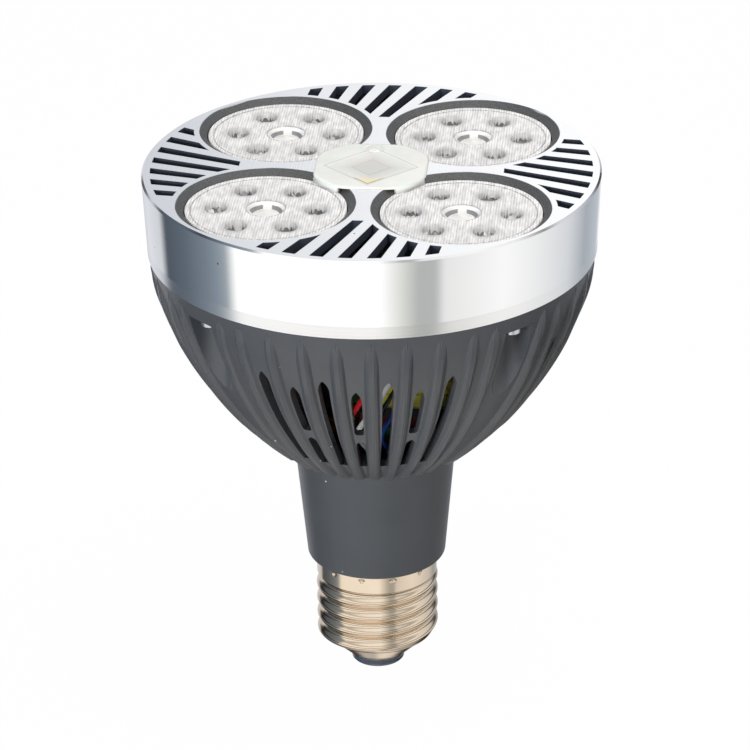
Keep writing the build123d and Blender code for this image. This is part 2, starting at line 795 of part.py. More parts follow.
def on_back(size, x, top):
    """Block seated on the back of the driver board."""
    wide, deep, high = size
    return block((x - wide / 2, driver_back, top - high), (x + wide / 2, driver_back + deep, top))


coil_top = bowl_rim - coil_top_drop
coil_foot = coil_top - coil_size[2]
core_back = driver_front - coil_stand_off


def core_stem_block(top, foot):
    middle_y = core_back - core_depth / 2
    half = core_stem / 2
    return block((coil_centre_x - half, middle_y - half, foot), (coil_centre_x + half, middle_y + half, top))


def transformer_winding():
    """Coil wrapped in yellow tape, round the core's middle leg."""
    body = on_front(coil_size, coil_centre_x, coil_top)
    body = fillet(body.edges().filter_by(Axis.Z), coil_corner)
    return Pos(0, -coil_stand_off, 0) * body - core_stem_block(coil_top, coil_foot)


def transformer_core():
    """Black ferrite core: two yokes joined by side legs and a middle leg."""
    half = coil_size[0] / 2
    low, high = coil_centre_x - half - core_leg, coil_centre_x + half + core_leg
    front = core_back - core_depth
    body = block((low, front, coil_foot - core_yoke), (high, core_back, coil_top + core_yoke))
    window = block((low + core_leg, front, coil_foot), (high - core_leg, core_back, coil_top))
    return body - window + core_stem_block(coil_top, coil_foot)


def transformer_bobbin():
    """Dark red foot of the bobbin with the pins' sockets, against the board."""
    top = coil_foot - core_yoke
    return on_front(bobbin_size, coil_centre_x - bobbin_shift, top)


def can(radius, height, x, top):
    """Upright round component against the front of the board."""
    body = disc(radius, top - height, top, x, driver_front - radius)
    return chamfer(body.edges().filter_by(GeomType.CIRCLE), can_edge)


def line_choke():
    """Drum choke: two flanges and a wound waist."""
    top = bowl_rim - choke_drop
    y = driver_front - choke_radius
    body = disc(choke_radius, top - choke_flange, top, choke_x, y)
    body += disc(choke_radius, top - choke_height, top - choke_height + choke_flange, choke_x, y)
    return body + disc(choke_waist_radius, top - choke_height, top, choke_x, y)


def fuse_resistor():
    """Fusible resistor, a barrel with two raised ends."""
    top = bowl_rim - fuse_drop
    y = driver_front - fuse_radius
    foot = top - fuse_height
    body = disc(fuse_waist_radius, foot, top, fuse_x, y)
    body += disc(fuse_radius, top - fuse_cap_height, top, fuse_x, y)
    return body + disc(fuse_radius, foot, foot + fuse_cap_height, fuse_x, y)


def lead(route, gauge):
    """Insulated lead along straight runs joined by arcs, each as large as its two runs allow."""
    points = [Vector(*p) for p in route]
    radii = []
    for a, b, c in zip(points, points[1:], points[2:]):
        turn = radians((b - a).get_angle(c - b))
        radii.append(0.45 * min((b - a).length, (c - b).length) / tan(turn / 2))
    path = FilletPolyline(*points, radius=radii)
    print("lead radii", [round(r, 1) for r in radii])
    start = Plane(origin=points[0], z_dir=(points[1] - points[0]))
    return sweep(start * Circle(gauge / 2), path=path)


def below_face(*points):
    """Route points given as x, y and the drop below the face."""
    return [(x, y, face_z - drop) for x, y, drop in points]


# Routes from the underside of the lamp boards, past the fan, to the front of the driver board
lamp_leads = {
    "lamp_lead_red": (below_face(
        (8.5, -28.5, well_depth), (8.5, -28.5, 20), (6.5, -28.3, 28), (3.35, -26.3, 35), (-1.6, -22.7, 44),
        (-5.15, -21.0, 51), (-3.3, -15.1, 57.5), (-0.5, -12.6, 62), (0.3, -7.0, 66.5),
        (0.3, driver_front, 66.5)), thick_lead),
    "lamp_lead_white": (below_face(
        (11.5, -29.2, well_depth), (11.5, -29.2, 21), (8.2, -28.0, 30.5), (4.7, -25.4, 38.5),
        (1.3, -23.3, 45), (-2.3, -21.3, 51), (-0.7, -15.6, 56.8), (1.9, -12.6, 61.5), (2.9, -7.0, 66.0),
        (2.9, driver_front, 66.0)), thick_lead),
    "lamp_lead_black": (below_face(
        (14.5, -30.0, well_depth), (14.5, -30.0, 20), (12.0, -28.9, 28), (8.3, -26.9, 35), (3.7, -23.8, 44),
        (0.3, -21.1, 51), (1.9, -15.6, 57), (4.3, -12.3, 61.5), (5.4, -7.0, 66.0),
        (5.4, driver_front, 66.0)), thin_lead),
    "lamp_lead_blue": (below_face(
        (17.5, -30.6, well_depth), (17.5, -30.6, 22), (14.2, -28.8, 31), (10.0, -25.6, 38.5),
        (5.6, -23.6, 45.5), (2.9, -20.8, 51.5), (3.9, -14.6, 57.8), (6.5, -11.6, 62), (7.9, -7.0, 66.0),
        (7.9, driver_front, 66.0)), thin_lead),
}

# Routes behind the board: the fan's pair, and the pair from the screw cap
fan_leads = {
    "fan_lead_red": (below_face(
        (-14.0, 12.5, 34), (-14.3, 13.0, 39), (-13.2, 9.8, 44.5), (-13.2, driver_back, 44.5)),
        fan_lead_gauge),
    "fan_lead_black": (below_face(
        (-16.2, 12.5, 34), (-16.5, 13.0, 39), (-15.6, 9.8, 44.5), (-15.6, driver_back, 44.5)),
        fan_lead_gauge),
}
mains_leads = {
    "mains_lead_centre": (below_face(
        (7.0, driver_back, 82), (7.0, 7.5, 82), (5.0, 6.8, 88), (2.0, 3.5, 96.0), (0, 0, 103),
        (0, 0, face_z - insulator_foot - contact_stem_length)), mains_lead_gauge),
    "mains_lead_shell": (below_face(
        (-7.0, driver_back, 82), (-7.0, 7.5, 82), (-5.8, 6.4, 88), (-6.6, 4.0, 97), (-7.6, 2.4, 104),
        (-11.3, 2.0, 106.5)), mains_lead_gauge),
}

# Face cap and light engine
parts["face_cap"] = face_cap()
parts["heat_sink"] = heat_sink()
for number, turn in enumerate(diagonals, 1):
    well = Pos(*polar(well_pitch_radius, turn))
    parts[f"lens_{number}"] = well * lens()
    parts[f"lamp_board_{number}"] = well * lamp_board()
    parts[f"emitters_{number}"] = [well * chip for chip in emitters()]
parts["board_screws"] = board_screws()
parts["lens_clamp"] = lens_clamp()
parts["clamp_insert"] = clamp_insert()
parts["clamp_screw"] = clamp_screw()

# Fan
parts["fan_frame"] = fan_frame()
parts["fan_bearing"] = fan_bearing()
parts["fan_impeller"] = fan_impeller()
parts["fan_magnet"] = fan_magnet()
parts["fan_stator"] = fan_stator()
parts["fan_shaft"] = fan_shaft()
parts["fan_clip"] = fan_clip()
parts["fan_screws"] = fan_screws()

# Bowl, neck and screw cap
parts["vent_bowl"] = vent_bowl()
parts["bowl_screws"] = bowl_screws()
parts["neck_sleeve"] = neck_sleeve()
parts["screw_shell"] = screw_shell()
parts["base_insulator"] = base_insulator()
parts["centre_contact"] = centre_contact()

# Driver
parts["driver_board"] = driver_board()
parts["transformer_winding"] = transformer_winding()
parts["transformer_core"] = transformer_core()
parts["transformer_bobbin"] = transformer_bobbin()
parts["output_capacitor"] = can(
    output_capacitor_radius, output_capacitor_height, output_capacitor_x, coil_top)
parts["input_capacitor"] = can(
    input_capacitor_radius, input_capacitor_height, 0, bowl_rim - input_capacitor_drop)
parts["line_choke"] = line_choke()
parts["fuse_resistor"] = fuse_resistor()
parts["film_capacitor"] = on_back(film_capacitor_size, 0, bowl_rim - film_capacitor_drop)
parts["bridge_rectifier"] = on_back(rectifier_size, 0, bowl_rim - rectifier_drop)
parts["controller_chip"] = on_back(chip_size, chip_x, bowl_rim - chip_drop)
parts["power_transistor"] = on_back(transistor_size, transistor_x, bowl_rim - transistor_drop)
for leads in (lamp_leads, fan_leads, mains_leads):
    for name, (route, gauge) in leads.items():
        parts[name] = lead(route, gauge)

os.makedirs("parts", exist_ok=True)
for name, shape in parts.items():
    export_step(Compound(shape) if isinstance(shape, list) else shape, f"parts/{name}.step")
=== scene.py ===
import math

import bpy
import numpy as np
from mathutils import Matrix, Vector


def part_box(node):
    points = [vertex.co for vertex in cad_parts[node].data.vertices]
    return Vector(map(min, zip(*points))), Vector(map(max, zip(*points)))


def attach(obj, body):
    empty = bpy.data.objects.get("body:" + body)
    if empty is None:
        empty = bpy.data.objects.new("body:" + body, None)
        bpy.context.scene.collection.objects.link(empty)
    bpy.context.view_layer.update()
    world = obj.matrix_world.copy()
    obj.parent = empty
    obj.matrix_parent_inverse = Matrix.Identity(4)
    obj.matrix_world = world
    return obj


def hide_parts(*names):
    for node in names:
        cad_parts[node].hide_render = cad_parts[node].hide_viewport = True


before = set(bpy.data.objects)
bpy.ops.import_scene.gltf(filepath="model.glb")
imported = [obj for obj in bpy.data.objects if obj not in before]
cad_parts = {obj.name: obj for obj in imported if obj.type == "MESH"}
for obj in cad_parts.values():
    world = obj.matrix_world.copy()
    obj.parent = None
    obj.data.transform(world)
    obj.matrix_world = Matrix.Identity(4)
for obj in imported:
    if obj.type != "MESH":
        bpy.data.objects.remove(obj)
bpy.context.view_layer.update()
mm = 0.001

# Screw cap's shell: thin brass sheet, rolled with a right-hand knuckle thread and nickel plated. Its plain
# band is staked on to the neck with a ring of small dents, and below the thread it narrows to the insulator.
neck_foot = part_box("screw_shell")[1].z / mm
shell_foot = 1.75
band_radius = 13.0
crest_radius = 13.15
root_radius = 12.2
shell_wall = 0.3
band_foot = 21.9
thread_pitch = 3.629
thread_foot = 7.4
crest_height = 18.8
crest_turn = 185.1
cone_top_radius = 11.8
shell_foot_radius = 6.0
dent_count = 12
dent_drop = 1.75
dent_radius = 0.6
dent_depth = 0.28
dent_floor = 0.2
fold = 0.5
cone_blend_down = 0.9
cone_blend_up = 0.7
shell_columns = 312
shell_rows = {0.0: 220, shell_wall: 60}


def linear(code):
    """Linear RGBA of an sRGB hex colour: a channel c is c / 12.92 up to 0.04045, else ((c + 0.055) / 1.055)
    ** 2.4."""
    channels = [int(code[i:i + 2], 16) / 255 for i in (1, 3, 5)]
    return [c / 12.92 if c <= 0.04045 else ((c + 0.055) / 1.055) ** 2.4 for c in channels] + [1.0]


def finish(name, values):
    """A material with these values on its Principled shader, its node tree, the shader, and the place that
    textures are laid out by, in metres."""
    material = bpy.data.materials.new(name)
    material.use_nodes = True
    shader = material.node_tree.nodes["Principled BSDF"]
    for socket, value in values.items():
        shader.inputs[socket].default_value = value
    place = add(material.node_tree, "ShaderNodeTexCoord", {}).outputs["Object"]
    return material, material.node_tree, shader, place


def add(tree, kind, inputs, **settings):
    """Adds a node with its settings. Each input gets a plain value, or is linked if the value is a socket."""
    node = tree.nodes.new(kind)
    for name, value in settings.items():
        setattr(node, name, value)
    for name, value in inputs.items():
        if isinstance(value, bpy.types.NodeSocket):
            tree.links.new(value, node.inputs[name])
        else:
            node.inputs[name].default_value = value
    return node


def calc(tree, operation, *values):
    """Value of a Math node over numbers or sockets."""
    return add(tree, "ShaderNodeMath", dict(enumerate(values)), operation=operation).outputs["Value"]


def mixed(tree, factor, first, second):
    """Colour between two colours, by a factor from 0 to 1."""
    inputs = {"Factor": factor, "A": first, "B": second}
    return add(tree, "ShaderNodeMix", inputs, data_type="RGBA").outputs["Result"]


def noise(tree, place, width, detail):
    """Value of a noise whose features are about this wide."""
    return add(tree, "ShaderNodeTexNoise", {"Vector": place, "Scale": 1 / width,
                                            "Detail": detail}).outputs["Fac"]


def stretched(tree, place, *widths):
    """Place scaled so that noise of width 1 on it has these widths along x, y and z."""
    scale = [1 / width for width in widths]
    return add(tree, "ShaderNodeMapping", {"Vector": place, "Scale": scale}).outputs["Vector"]


def roughen(tree, shader, height, strength, depth):
    """Bumps the shader's surface by a height value, at this strength and depth."""
    bump = add(tree, "ShaderNodeBump", {"Height": height, "Strength": strength, "Distance": depth})
    tree.links.new(bump.outputs["Normal"], shader.inputs["Normal"])


def clouded(name, width, detail, first, second, values):
    """A material whose base colour drifts between two shades over noise of this width, with its tree, its
    shader and the noise."""
    material, tree, shader, place = finish(name, values)
    cloud = noise(tree, place, width, detail)
    tree.links.new(mixed(tree, cloud, first, second), shader.inputs["Base Color"])
    return material, tree, shader, cloud


def dress(material, *names):
    """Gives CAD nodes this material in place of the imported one."""
    for name in names:
        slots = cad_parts[name].data.materials
        slots.clear()
        slots.append(material)


def smooth(low, high, x):
    """Smooth step: 0 below low, 1 above high, 3 t^2 - 2 t^3 between, where t runs from 0 to 1."""
    t = np.clip((x - low) / (high - low), 0, 1)
    return t * t * (3 - 2 * t)


def grid_piece(name, parts, material, stands_for=(), body="root", rings=False):
    """Piece made of one or more grids of points[row, column] in millimetres, with a quad to each cell.
    Columns close on themselves. Rows do too for rings, and otherwise the first and the last are filled with a
    face each. The signed volume, a sum of v0 . (v1 x v2) / 6, turns the faces outwards."""
    places, faces, start = [], [], 0
    for points in parts:
        rows, columns = points.shape[:2]
        index = np.arange(rows * columns).reshape(rows, columns)
        index = np.hstack([index, index[:, :1]])
        if rings:
            index = np.vstack([index, index[:1]])
        quads = np.stack([index[:-1, :-1], index[:-1, 1:], index[1:, 1:], index[1:, :-1]],
                         axis=-1).reshape(-1, 4)
        ends = [] if rings else [index[0, :-1][::-1], index[-1, :-1]]
        co = points.reshape(-1, 3)
        a, b, c, d = (co[quads[:, k]] - co.mean(axis=0) for k in range(4))
        if (np.einsum("ij,ij->i", a, np.cross(b, c)) + np.einsum("ij,ij->i", a, np.cross(c, d))).sum() < 0:
            quads, ends = quads[:, ::-1], [end[::-1] for end in ends]
        places.append(co)
        faces += (quads + start).tolist() + [(end + start).tolist() for end in ends]
        start += len(co)
    mesh = bpy.data.meshes.new(name)
    mesh.from_pydata(np.concatenate(places) * mm, [], faces)
    mesh.polygons.foreach_set("use_smooth", np.ones(len(faces), bool))
    mesh.materials.append(material)
    piece = bpy.data.objects.new(name, mesh)
    bpy.context.scene.collection.objects.link(piece)
    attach(piece, body)
    if stands_for:
        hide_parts(*stands_for)
    return piece


def shell_radius(z, turn):
    """Outer radius at a height and a turn in degrees: the band's radius, then the mean of crest and root plus
    half their difference times cos(2 pi (z - crest) / pitch - (turn - crest turn)), then a straight cone,
    less the ring of dents."""
    phase = 2 * np.pi * (z - crest_height) / thread_pitch - np.radians(turn - crest_turn)
    thread = (crest_radius + root_radius) / 2 + (crest_radius - root_radius) / 2 * np.cos(phase)
    cone_share = (z - shell_foot) / (thread_foot - shell_foot)
    cone = shell_foot_radius + (cone_top_radius - shell_foot_radius) * cone_share
    below = smooth(thread_foot - cone_blend_down, thread_foot + cone_blend_up, z)
    above = smooth(band_foot - fold, band_foot + fold, z)
    radius = band_radius * above + (1 - above) * (thread * below + np.minimum(thread, cone) * (1 - below))
    step = 360 / dent_count
    across = np.radians((turn - crest_turn) % step - step / 2) * band_radius
    spot = np.sqrt(across ** 2 + (z - neck_foot + dent_drop) ** 2) / dent_radius
    return radius - dent_depth * (1 - smooth(dent_floor, 1, spot))


shell_turns = np.linspace(0, 360, shell_columns, endpoint=False)
walls = []
for inset, rows in shell_rows.items():
    z, turn = np.meshgrid(np.linspace(neck_foot, shell_foot, rows), shell_turns, indexing="ij")
    r = shell_radius(z, turn) - inset
    walls.append(np.stack([r * np.cos(np.radians(turn)), r * np.sin(np.radians(turn)), z], axis=-1))
# Nickel plate: a warm, bright metal with faint draw marks round it and a slightly uneven gloss. The marks are
# drawn wider than the real ones, so that they show.
draw_mark_width = 0.4 * mm
draw_mark_length = 16.67 * mm
gloss_patch = 4.545 * mm
nickel, tree, shader, place = finish("nickel_plate", {
    "Base Color": linear("#e8d6c0"), "Metallic": 1.0, "Roughness": 0.14})
stretch = stretched(tree, place, draw_mark_length, draw_mark_length, draw_mark_width)
marks = noise(tree, stretch, 1.0, 3.0)
cloud = noise(tree, place, gloss_patch, 2.0)
gloss = add(tree, "ShaderNodeMapRange", {"Value": cloud, "To Min": 0.08, "To Max": 0.2}).outputs["Result"]
tree.links.new(gloss, shader.inputs["Roughness"])
roughen(tree, shader, marks, 0.02, 0.1 * mm)
grid_piece("thread_shell", [np.concatenate([walls[0], walls[1][::-1]])], nickel,
           ["screw_shell"], rings=True)

# Insulator and contact at the tip: dark vitrified glass cast into the shell's foot, and a brass button tinned
# where the holder's spring touches it. Both are bodies of revolution.
insulator_profile = ((5.8, 1.9), (5.8, 1.0), (5.72, 0.4), (5.5, 0.14), (5.0, 0.04), (4.4, 0.07), (3.8, 0.4),
                     (3.8, 3.0), (1.6, 3.2), (1.6, 5.4), (4.4, 5.6), (7.6, 5.4), (5.9, 2.6))
contact_profile = ((0.02, 0.0), (2.4, 0.0), (3.3, 0.08), (3.65, 0.35), (3.65, 0.9), (1.5, 1.1), (1.5, 6.6),
                   (0.02, 6.6))


def turned(profile, columns=96):
    """Surface of revolution: each radius r and height z of the profile gives the ring (r cos t, r sin t,
    z)."""
    turn = np.linspace(0, 2 * np.pi, columns, endpoint=False)
    return np.stack([np.stack([r * np.cos(turn), r * np.sin(turn), np.full_like(turn, z)], axis=-1)
                     for r, z in profile])


# Vitrified glass: blue-black, glassy, with paler drifts where it cooled
drift_width = 2.857 * mm
vitrite = clouded("vitrified_glass", drift_width, 4.0, linear("#353c48"), linear("#505968"),
                  {"Roughness": 0.22, "Coat Weight": 0.4, "Coat Roughness": 0.1})[0]
grid_piece("tip_insulator", [turned(insulator_profile)], vitrite, ["base_insulator"],
           rings=True)
# Tinned brass: a soft grey-gold metal, scuffed finely by the holder's spring
scuff_width = 1.111 * mm
tinned, tree, shader, place = finish("tinned_brass", {"Base Color": linear("#cfc6b4"), "Metallic": 1.0})
scuffs = noise(tree, place, scuff_width, 3.0)
gloss = add(tree, "ShaderNodeMapRange", {"Value": scuffs, "To Min": 0.2, "To Max": 0.45}).outputs["Result"]
tree.links.new(gloss, shader.inputs["Roughness"])
grid_piece("tip_contact", [turned(contact_profile)], tinned, ["centre_contact"])
dress(tinned, "clamp_insert", "fan_bearing")

# Neck and bowl: two mouldings in glass-filled nylon, coloured black and spark-eroded to a satin. The neck is
# a plain taper, and the bowl has half-round ribs between rows of air slots. It is screwed to the face cap.

# Satin black nylon: dark grey with a fine grain, drawn coarser than the real one so that it shows, and dust
# specks
grain_width = 0.3846 * mm
shade_patch = 11.11 * mm
dust_spacing = 3.03 * mm
dusty_share = 0.12
nylon, tree, shader, place = finish("satin_black_nylon", {"Base Color": linear("#424549"), "Roughness": 0.36})
grain = noise(tree, place, grain_width, 2.0)
cloud = noise(tree, place, shade_patch, 3.0)
shade = mixed(tree, cloud, linear("#3d4044"), linear("#474a4e"))
speck_cells = add(tree, "ShaderNodeTexVoronoi", {"Vector": place, "Scale": 1 / dust_spacing})
speck = add(tree, "ShaderNodeMapRange", {
    "Value": speck_cells.outputs["Distance"], "From Min": 0.04, "From Max": 0.075, "To Min": 1.0,
    "To Max": 0.0})
chosen = add(tree, "ShaderNodeSeparateColor", {"Color": speck_cells.outputs["Color"]}).outputs["Red"]
rare = calc(tree, "GREATER_THAN", chosen, 1 - dusty_share)
dust = calc(tree, "MULTIPLY", speck.outputs["Result"], rare)
dusty = mixed(tree, dust, shade, linear("#c9cacc"))
tree.links.new(dusty, shader.inputs["Base Color"])
roughen(tree, shader, grain, 0.12, 0.1 * mm)
dress(nylon, "vent_bowl", "neck_sleeve")

bowl_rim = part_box("vent_bowl")[1].z / mm
bowl_points = ((46.7, 0.0), (38.0, 23.0), (19.9, 44.8))
rib_pitch = 8.8
outer_rib = 37.0
rib_turns = [zone + turn for zone in (0, 90, 180, 270) for turn in
             [-outer_rib] + [rib_pitch * (k - 3.5) for k in range(8)] + [outer_rib]]
rib_half_width = 1.08
rib_foot_half_width = 0.85
rib_height = 1.05
rib_root = 0.5
rib_narrow_from = 22.0
rib_narrow_to = 42.0
rib_tip_power = 0.55
rib_round_power = 1.8
rib_tip_drop = 1.2
rib_full_drop = 17.0
rib_fade_drop = 34.0
rib_foot_drop = 43.4
rib_stations = 60
rib_columns = 15


def bowl_radius(drop):
    """Radius of the bowl at a drop below its rim, and the sine of its slope there: the circle through three
    points of its meridian, whose centre c solves 2 (p2 - p1) . c = |p2|^2 - |p1|^2 for two pairs of them."""
    p = np.array(bowl_points)
    centre = np.linalg.solve(2 * (p[1:] - p[0]), (p[1:] ** 2).sum(axis=1) - (p[0] ** 2).sum())
    arc = np.hypot(*(p[0] - centre))
    return centre[0] + np.sqrt(arc ** 2 - (drop - centre[1]) ** 2), (drop - centre[1]) / arc


def rib(turn):
    """One rib: stations down the meridian, each a closed curve u from -1 to 1 across with height h (1 -
    |u|^1.8) over the wall and a root under it. Width and height grow from a point below the rim and fade at
    the foot."""
    drop = np.linspace(rib_tip_drop, rib_foot_drop, rib_stations)
    radius, lean = bowl_radius(drop)
    grown = np.clip((drop - rib_tip_drop) / (rib_full_drop - rib_tip_drop), 0, 1) ** rib_tip_power
    wide = 1 - smooth(rib_narrow_from, rib_narrow_to, drop)
    narrow = rib_foot_half_width + (rib_half_width - rib_foot_half_width) * wide
    half = np.maximum(narrow * grown, 0.05)
    tall = rib_height * grown * (1 - 0.9 * smooth(rib_fade_drop, rib_foot_drop, drop))
    u = np.cos(np.linspace(0, np.pi, rib_columns))
    top = tall[:, None] * (1 - np.abs(u) ** rib_round_power)
    side = np.hstack([half[:, None] * u, half[:, None] * u[::-1] * 0.9])
    out = np.hstack([top, np.full_like(top, -rib_root)])
    flat = radius[:, None] + out * np.sqrt(1 - lean ** 2)[:, None]
    z = bowl_rim - drop[:, None] - out * lean[:, None]
    c, s = np.cos(np.radians(turn)), np.sin(np.radians(turn))
    return np.stack([flat * c - side * s, flat * s + side * c, z], axis=-1)


grid_piece("bowl_ribs", [rib(turn) for turn in rib_turns], nylon)

# Driver board, upright in the neck: woven glass in epoxy, etched and coated with a green solder mask, through
# which the copper tracks show paler. Its parts stand on it, soldered.

# Green solder mask: smooth and shiny, with paler tracks under it
track_spacing = 2.381 * mm
solder_mask, tree, shader, place = finish("green_solder_mask", {"Roughness": 0.32})
tracks = add(tree, "ShaderNodeTexVoronoi", {"Vector": place, "Scale": 1 / track_spacing},
             distance="CHEBYCHEV").outputs["Distance"]
tracks = calc(tree, "GREATER_THAN", tracks, 0.35)
shade = mixed(tree, tracks, linear("#1d4a30"), linear("#2f6b45"))
tree.links.new(shade, shader.inputs["Base Color"])
roughen(tree, shader, tracks, 0.3, 0.04 * mm)
dress(solder_mask, "driver_board")

# Transformer: a coil wound on a phenolic bobbin and taped yellow, with a sintered ferrite core round it. The
# tape's laps show as thin darker lines every 3 mm, and the ferrite is dull and peppery.
lap_pitch = 2.992 * mm
tape, tree, shader, place = finish("polyester_tape", {"Roughness": 0.22})
laps = add(tree, "ShaderNodeTexWave", {"Vector": place, "Scale": math.pi / (10 * lap_pitch),
                                       "Distortion": 0.6}, bands_direction="Z")
laps = add(tree, "ShaderNodeMapRange", {"Value": laps.outputs["Fac"], "From Min": 0.0, "From Max": 0.12})
shade = mixed(tree, laps.outputs["Result"], linear("#a39d1a"), linear("#e0d840"))
tree.links.new(shade, shader.inputs["Base Color"])
dress(tape, "transformer_winding")
# Sintered ferrite: dull charcoal, peppered by its grains, which are drawn coarser than they are
pepper_width = 0.4167 * mm
ferrite = clouded("sintered_ferrite", pepper_width, 2.0, linear("#15171c"), linear("#2e3138"),
                  {"Roughness": 0.5})[0]
dress(ferrite, "transformer_core", "fan_magnet")
# Moulded phenolic: dark red-brown, mottled by its filler
mottle_width = 1.667 * mm
phenolic = clouded("moulded_phenolic", mottle_width, 4.0, linear("#461519"), linear("#6b2a2c"),
                   {"Roughness": 0.38})[0]
dress(phenolic, "transformer_bobbin", "film_capacitor")

# Capacitors, packages and fuse resistor: cans in a shrunk navy-black sleeve, blocks of moulded epoxy with a
# fine spark-eroded grain, and a grey ceramic coat fired on.
wave_width = 3.846 * mm
sleeve = clouded("shrunk_sleeve", wave_width, 3.0, linear("#191e2c"), linear("#262d40"),
                 {"Roughness": 0.28})[0]
dress(sleeve, "output_capacitor", "input_capacitor")
# Moulded epoxy: matt black with the same grain as the nylon
epoxy, tree, shader, grain = clouded("moulded_epoxy", grain_width, 2.0, linear("#171a22"), linear("#23262f"),
                                     {"Roughness": 0.5})
roughen(tree, shader, grain, 0.2, 0.08 * mm)
dress(epoxy, "bridge_rectifier", "controller_chip", "power_transistor")
# Fired ceramic coat: pale grey, dull and faintly dimpled
dimple_width = 0.8333 * mm
ceramic = clouded("fired_ceramic_coat", dimple_width, 2.0, linear("#7e8187"), linear("#9fa2a6"),
                  {"Roughness": 0.5})[0]
dress(ceramic, "fuse_resistor")

# Choke and the fan's stator coils: enamelled copper wire of 0.4 mm, wound in layers. The turns show as fine
# bright and dark lines; the dark ones are painted shade in the grooves between turns.
wire_width = 0.4028 * mm
enamel, tree, shader, place = finish("enamelled_copper", {"Metallic": 1.0, "Roughness": 0.3})
wires = add(tree, "ShaderNodeTexWave", {"Vector": place, "Scale": math.pi / (10 * wire_width),
                                        "Distortion": 0.4}, bands_direction="Z")
# Painted shade: darker brown in the grooves between the turns
shade = mixed(tree, wires.outputs["Fac"], linear("#5c2c12"), linear("#b5662f"))
tree.links.new(shade, shader.inputs["Base Color"])
roughen(tree, shader, wires.outputs["Fac"], 0.6, 0.1 * mm)
dress(enamel, "line_choke", "fan_stator")

# Leads from driver to boards, fan and cap: stranded copper in sleeves of soft PVC, extruded glossy, one
# colour each. The sleeve is a touch uneven in shade, as thin extruded insulation is.
uneven_length = 2.857 * mm
lead_colours = {
    "red_pvc": ("#dc2430", ["lamp_lead_red", "fan_lead_red", "mains_lead_centre"]),
    "white_pvc": ("#ececef", ["lamp_lead_white"]),
    "black_pvc": ("#191c24", ["lamp_lead_black", "fan_lead_black"]),
    "blue_pvc": ("#3a66cc", ["lamp_lead_blue", "mains_lead_shell"]),
}
lead_shade = 0.75
for name, (code, leads) in lead_colours.items():
    darker = [c * lead_shade for c in linear(code)[:3]] + [1.0]
    dress(clouded(name, uneven_length, 3.0, linear(code), darker, {"Roughness": 0.25})[0], *leads)

# Fan under the heat sink: frame and impeller of glass-filled polyester, moulded black with a soft satin and
# faint flow marks. The impeller is pressed on a ground steel shaft, kept by a spring clip.
flow_mark = 7.143 * mm
polyester, tree, shader, place = finish("moulded_polyester", {"Roughness": 0.42})
flow = add(tree, "ShaderNodeTexNoise", {"Vector": place, "Scale": 1 / flow_mark, "Detail": 5.0,
                                        "Distortion": 1.5})
shade = mixed(tree, flow.outputs["Fac"], linear("#1a1c22"), linear("#2a2d34"))
tree.links.new(shade, shader.inputs["Base Color"])
satin = add(tree, "ShaderNodeMapRange", {"Value": flow.outputs["Fac"], "To Min": 0.35, "To Max": 0.5})
tree.links.new(satin.outputs["Result"], shader.inputs["Roughness"])
dress(polyester, "fan_frame", "fan_impeller")
# Ground steel: bright, with a gloss broken by fine rings from the grinding wheel
grinding_width = 0.3333 * mm
grinding_length = 12.5 * mm
ground_steel, tree, shader, place = finish("ground_steel", {"Base Color": linear("#c4c6ca"), "Metallic": 1.0})
round_place = stretched(tree, place, grinding_length, grinding_length, grinding_width)
grinding = noise(tree, round_place, 1.0, 3.0)
gloss = add(tree, "ShaderNodeMapRange", {"Value": grinding, "To Min": 0.15, "To Max": 0.35}).outputs["Result"]
tree.links.new(gloss, shader.inputs["Roughness"])
dress(ground_steel, "fan_shaft", "fan_clip")

# Screws that hold bowl, fan, boards and clamp: cold-headed steel, zinc plated and passivated to a bright,
# slightly blue and cloudy silver.
bloom_width = 2.0 * mm
zinc = clouded("zinc_plate", bloom_width, 3.0, linear("#c2c7d0"), linear("#e6e8ea"),
               {"Metallic": 1.0, "Roughness": 0.28})[0]
dress(zinc, "fan_screws", "bowl_screws", "board_screws", "clamp_screw")

# Heat sink behind the lamp boards: aluminium, extruded, machined and anodised black. The oxide is dull and
# blue-grey with fine lines left by the cutter.
cutter_mark_width = 0.5556 * mm
cutter_mark_length = 8.333 * mm
anodised, tree, shader, place = finish("black_anodised_aluminium", {"Roughness": 0.48})
cutter = stretched(tree, place, cutter_mark_width, cutter_mark_length, cutter_mark_length)
cutter = noise(tree, cutter, 1.0, 2.0)
shade = mixed(tree, cutter, linear("#2c313c"), linear("#404652"))
tree.links.new(shade, shader.inputs["Base Color"])
roughen(tree, shader, cutter, 0.1, 0.1 * mm)
dress(anodised, "heat_sink")

# Lamp boards and their emitters: aluminium boards under a white solder mask, screwed to the sink, with seven
# blue chips each, covered with yellow phosphor in silicone, which is waxy and a little uneven.
print_patch = 3.333 * mm
board_numbers = range(1, 5)
white_mask = clouded("white_solder_mask", print_patch, 3.0, linear("#dedfdb"), linear("#f2f2ee"),
                     {"Roughness": 0.36})[0]
dress(white_mask, *[f"lamp_board_{k}" for k in board_numbers])
# Phosphor in silicone: waxy yellow, uneven where its grains have settled
grain_cloud = 0.6667 * mm
phosphor = clouded("phosphor_in_silicone", grain_cloud, 2.0, linear("#dba92c"), linear("#f2d45c"),
                   {"Roughness": 0.25, "Subsurface Weight": 0.2, "Subsurface Scale": 0.001})[0]
dress(phosphor, *[f"emitters_{k}" for k in board_numbers])

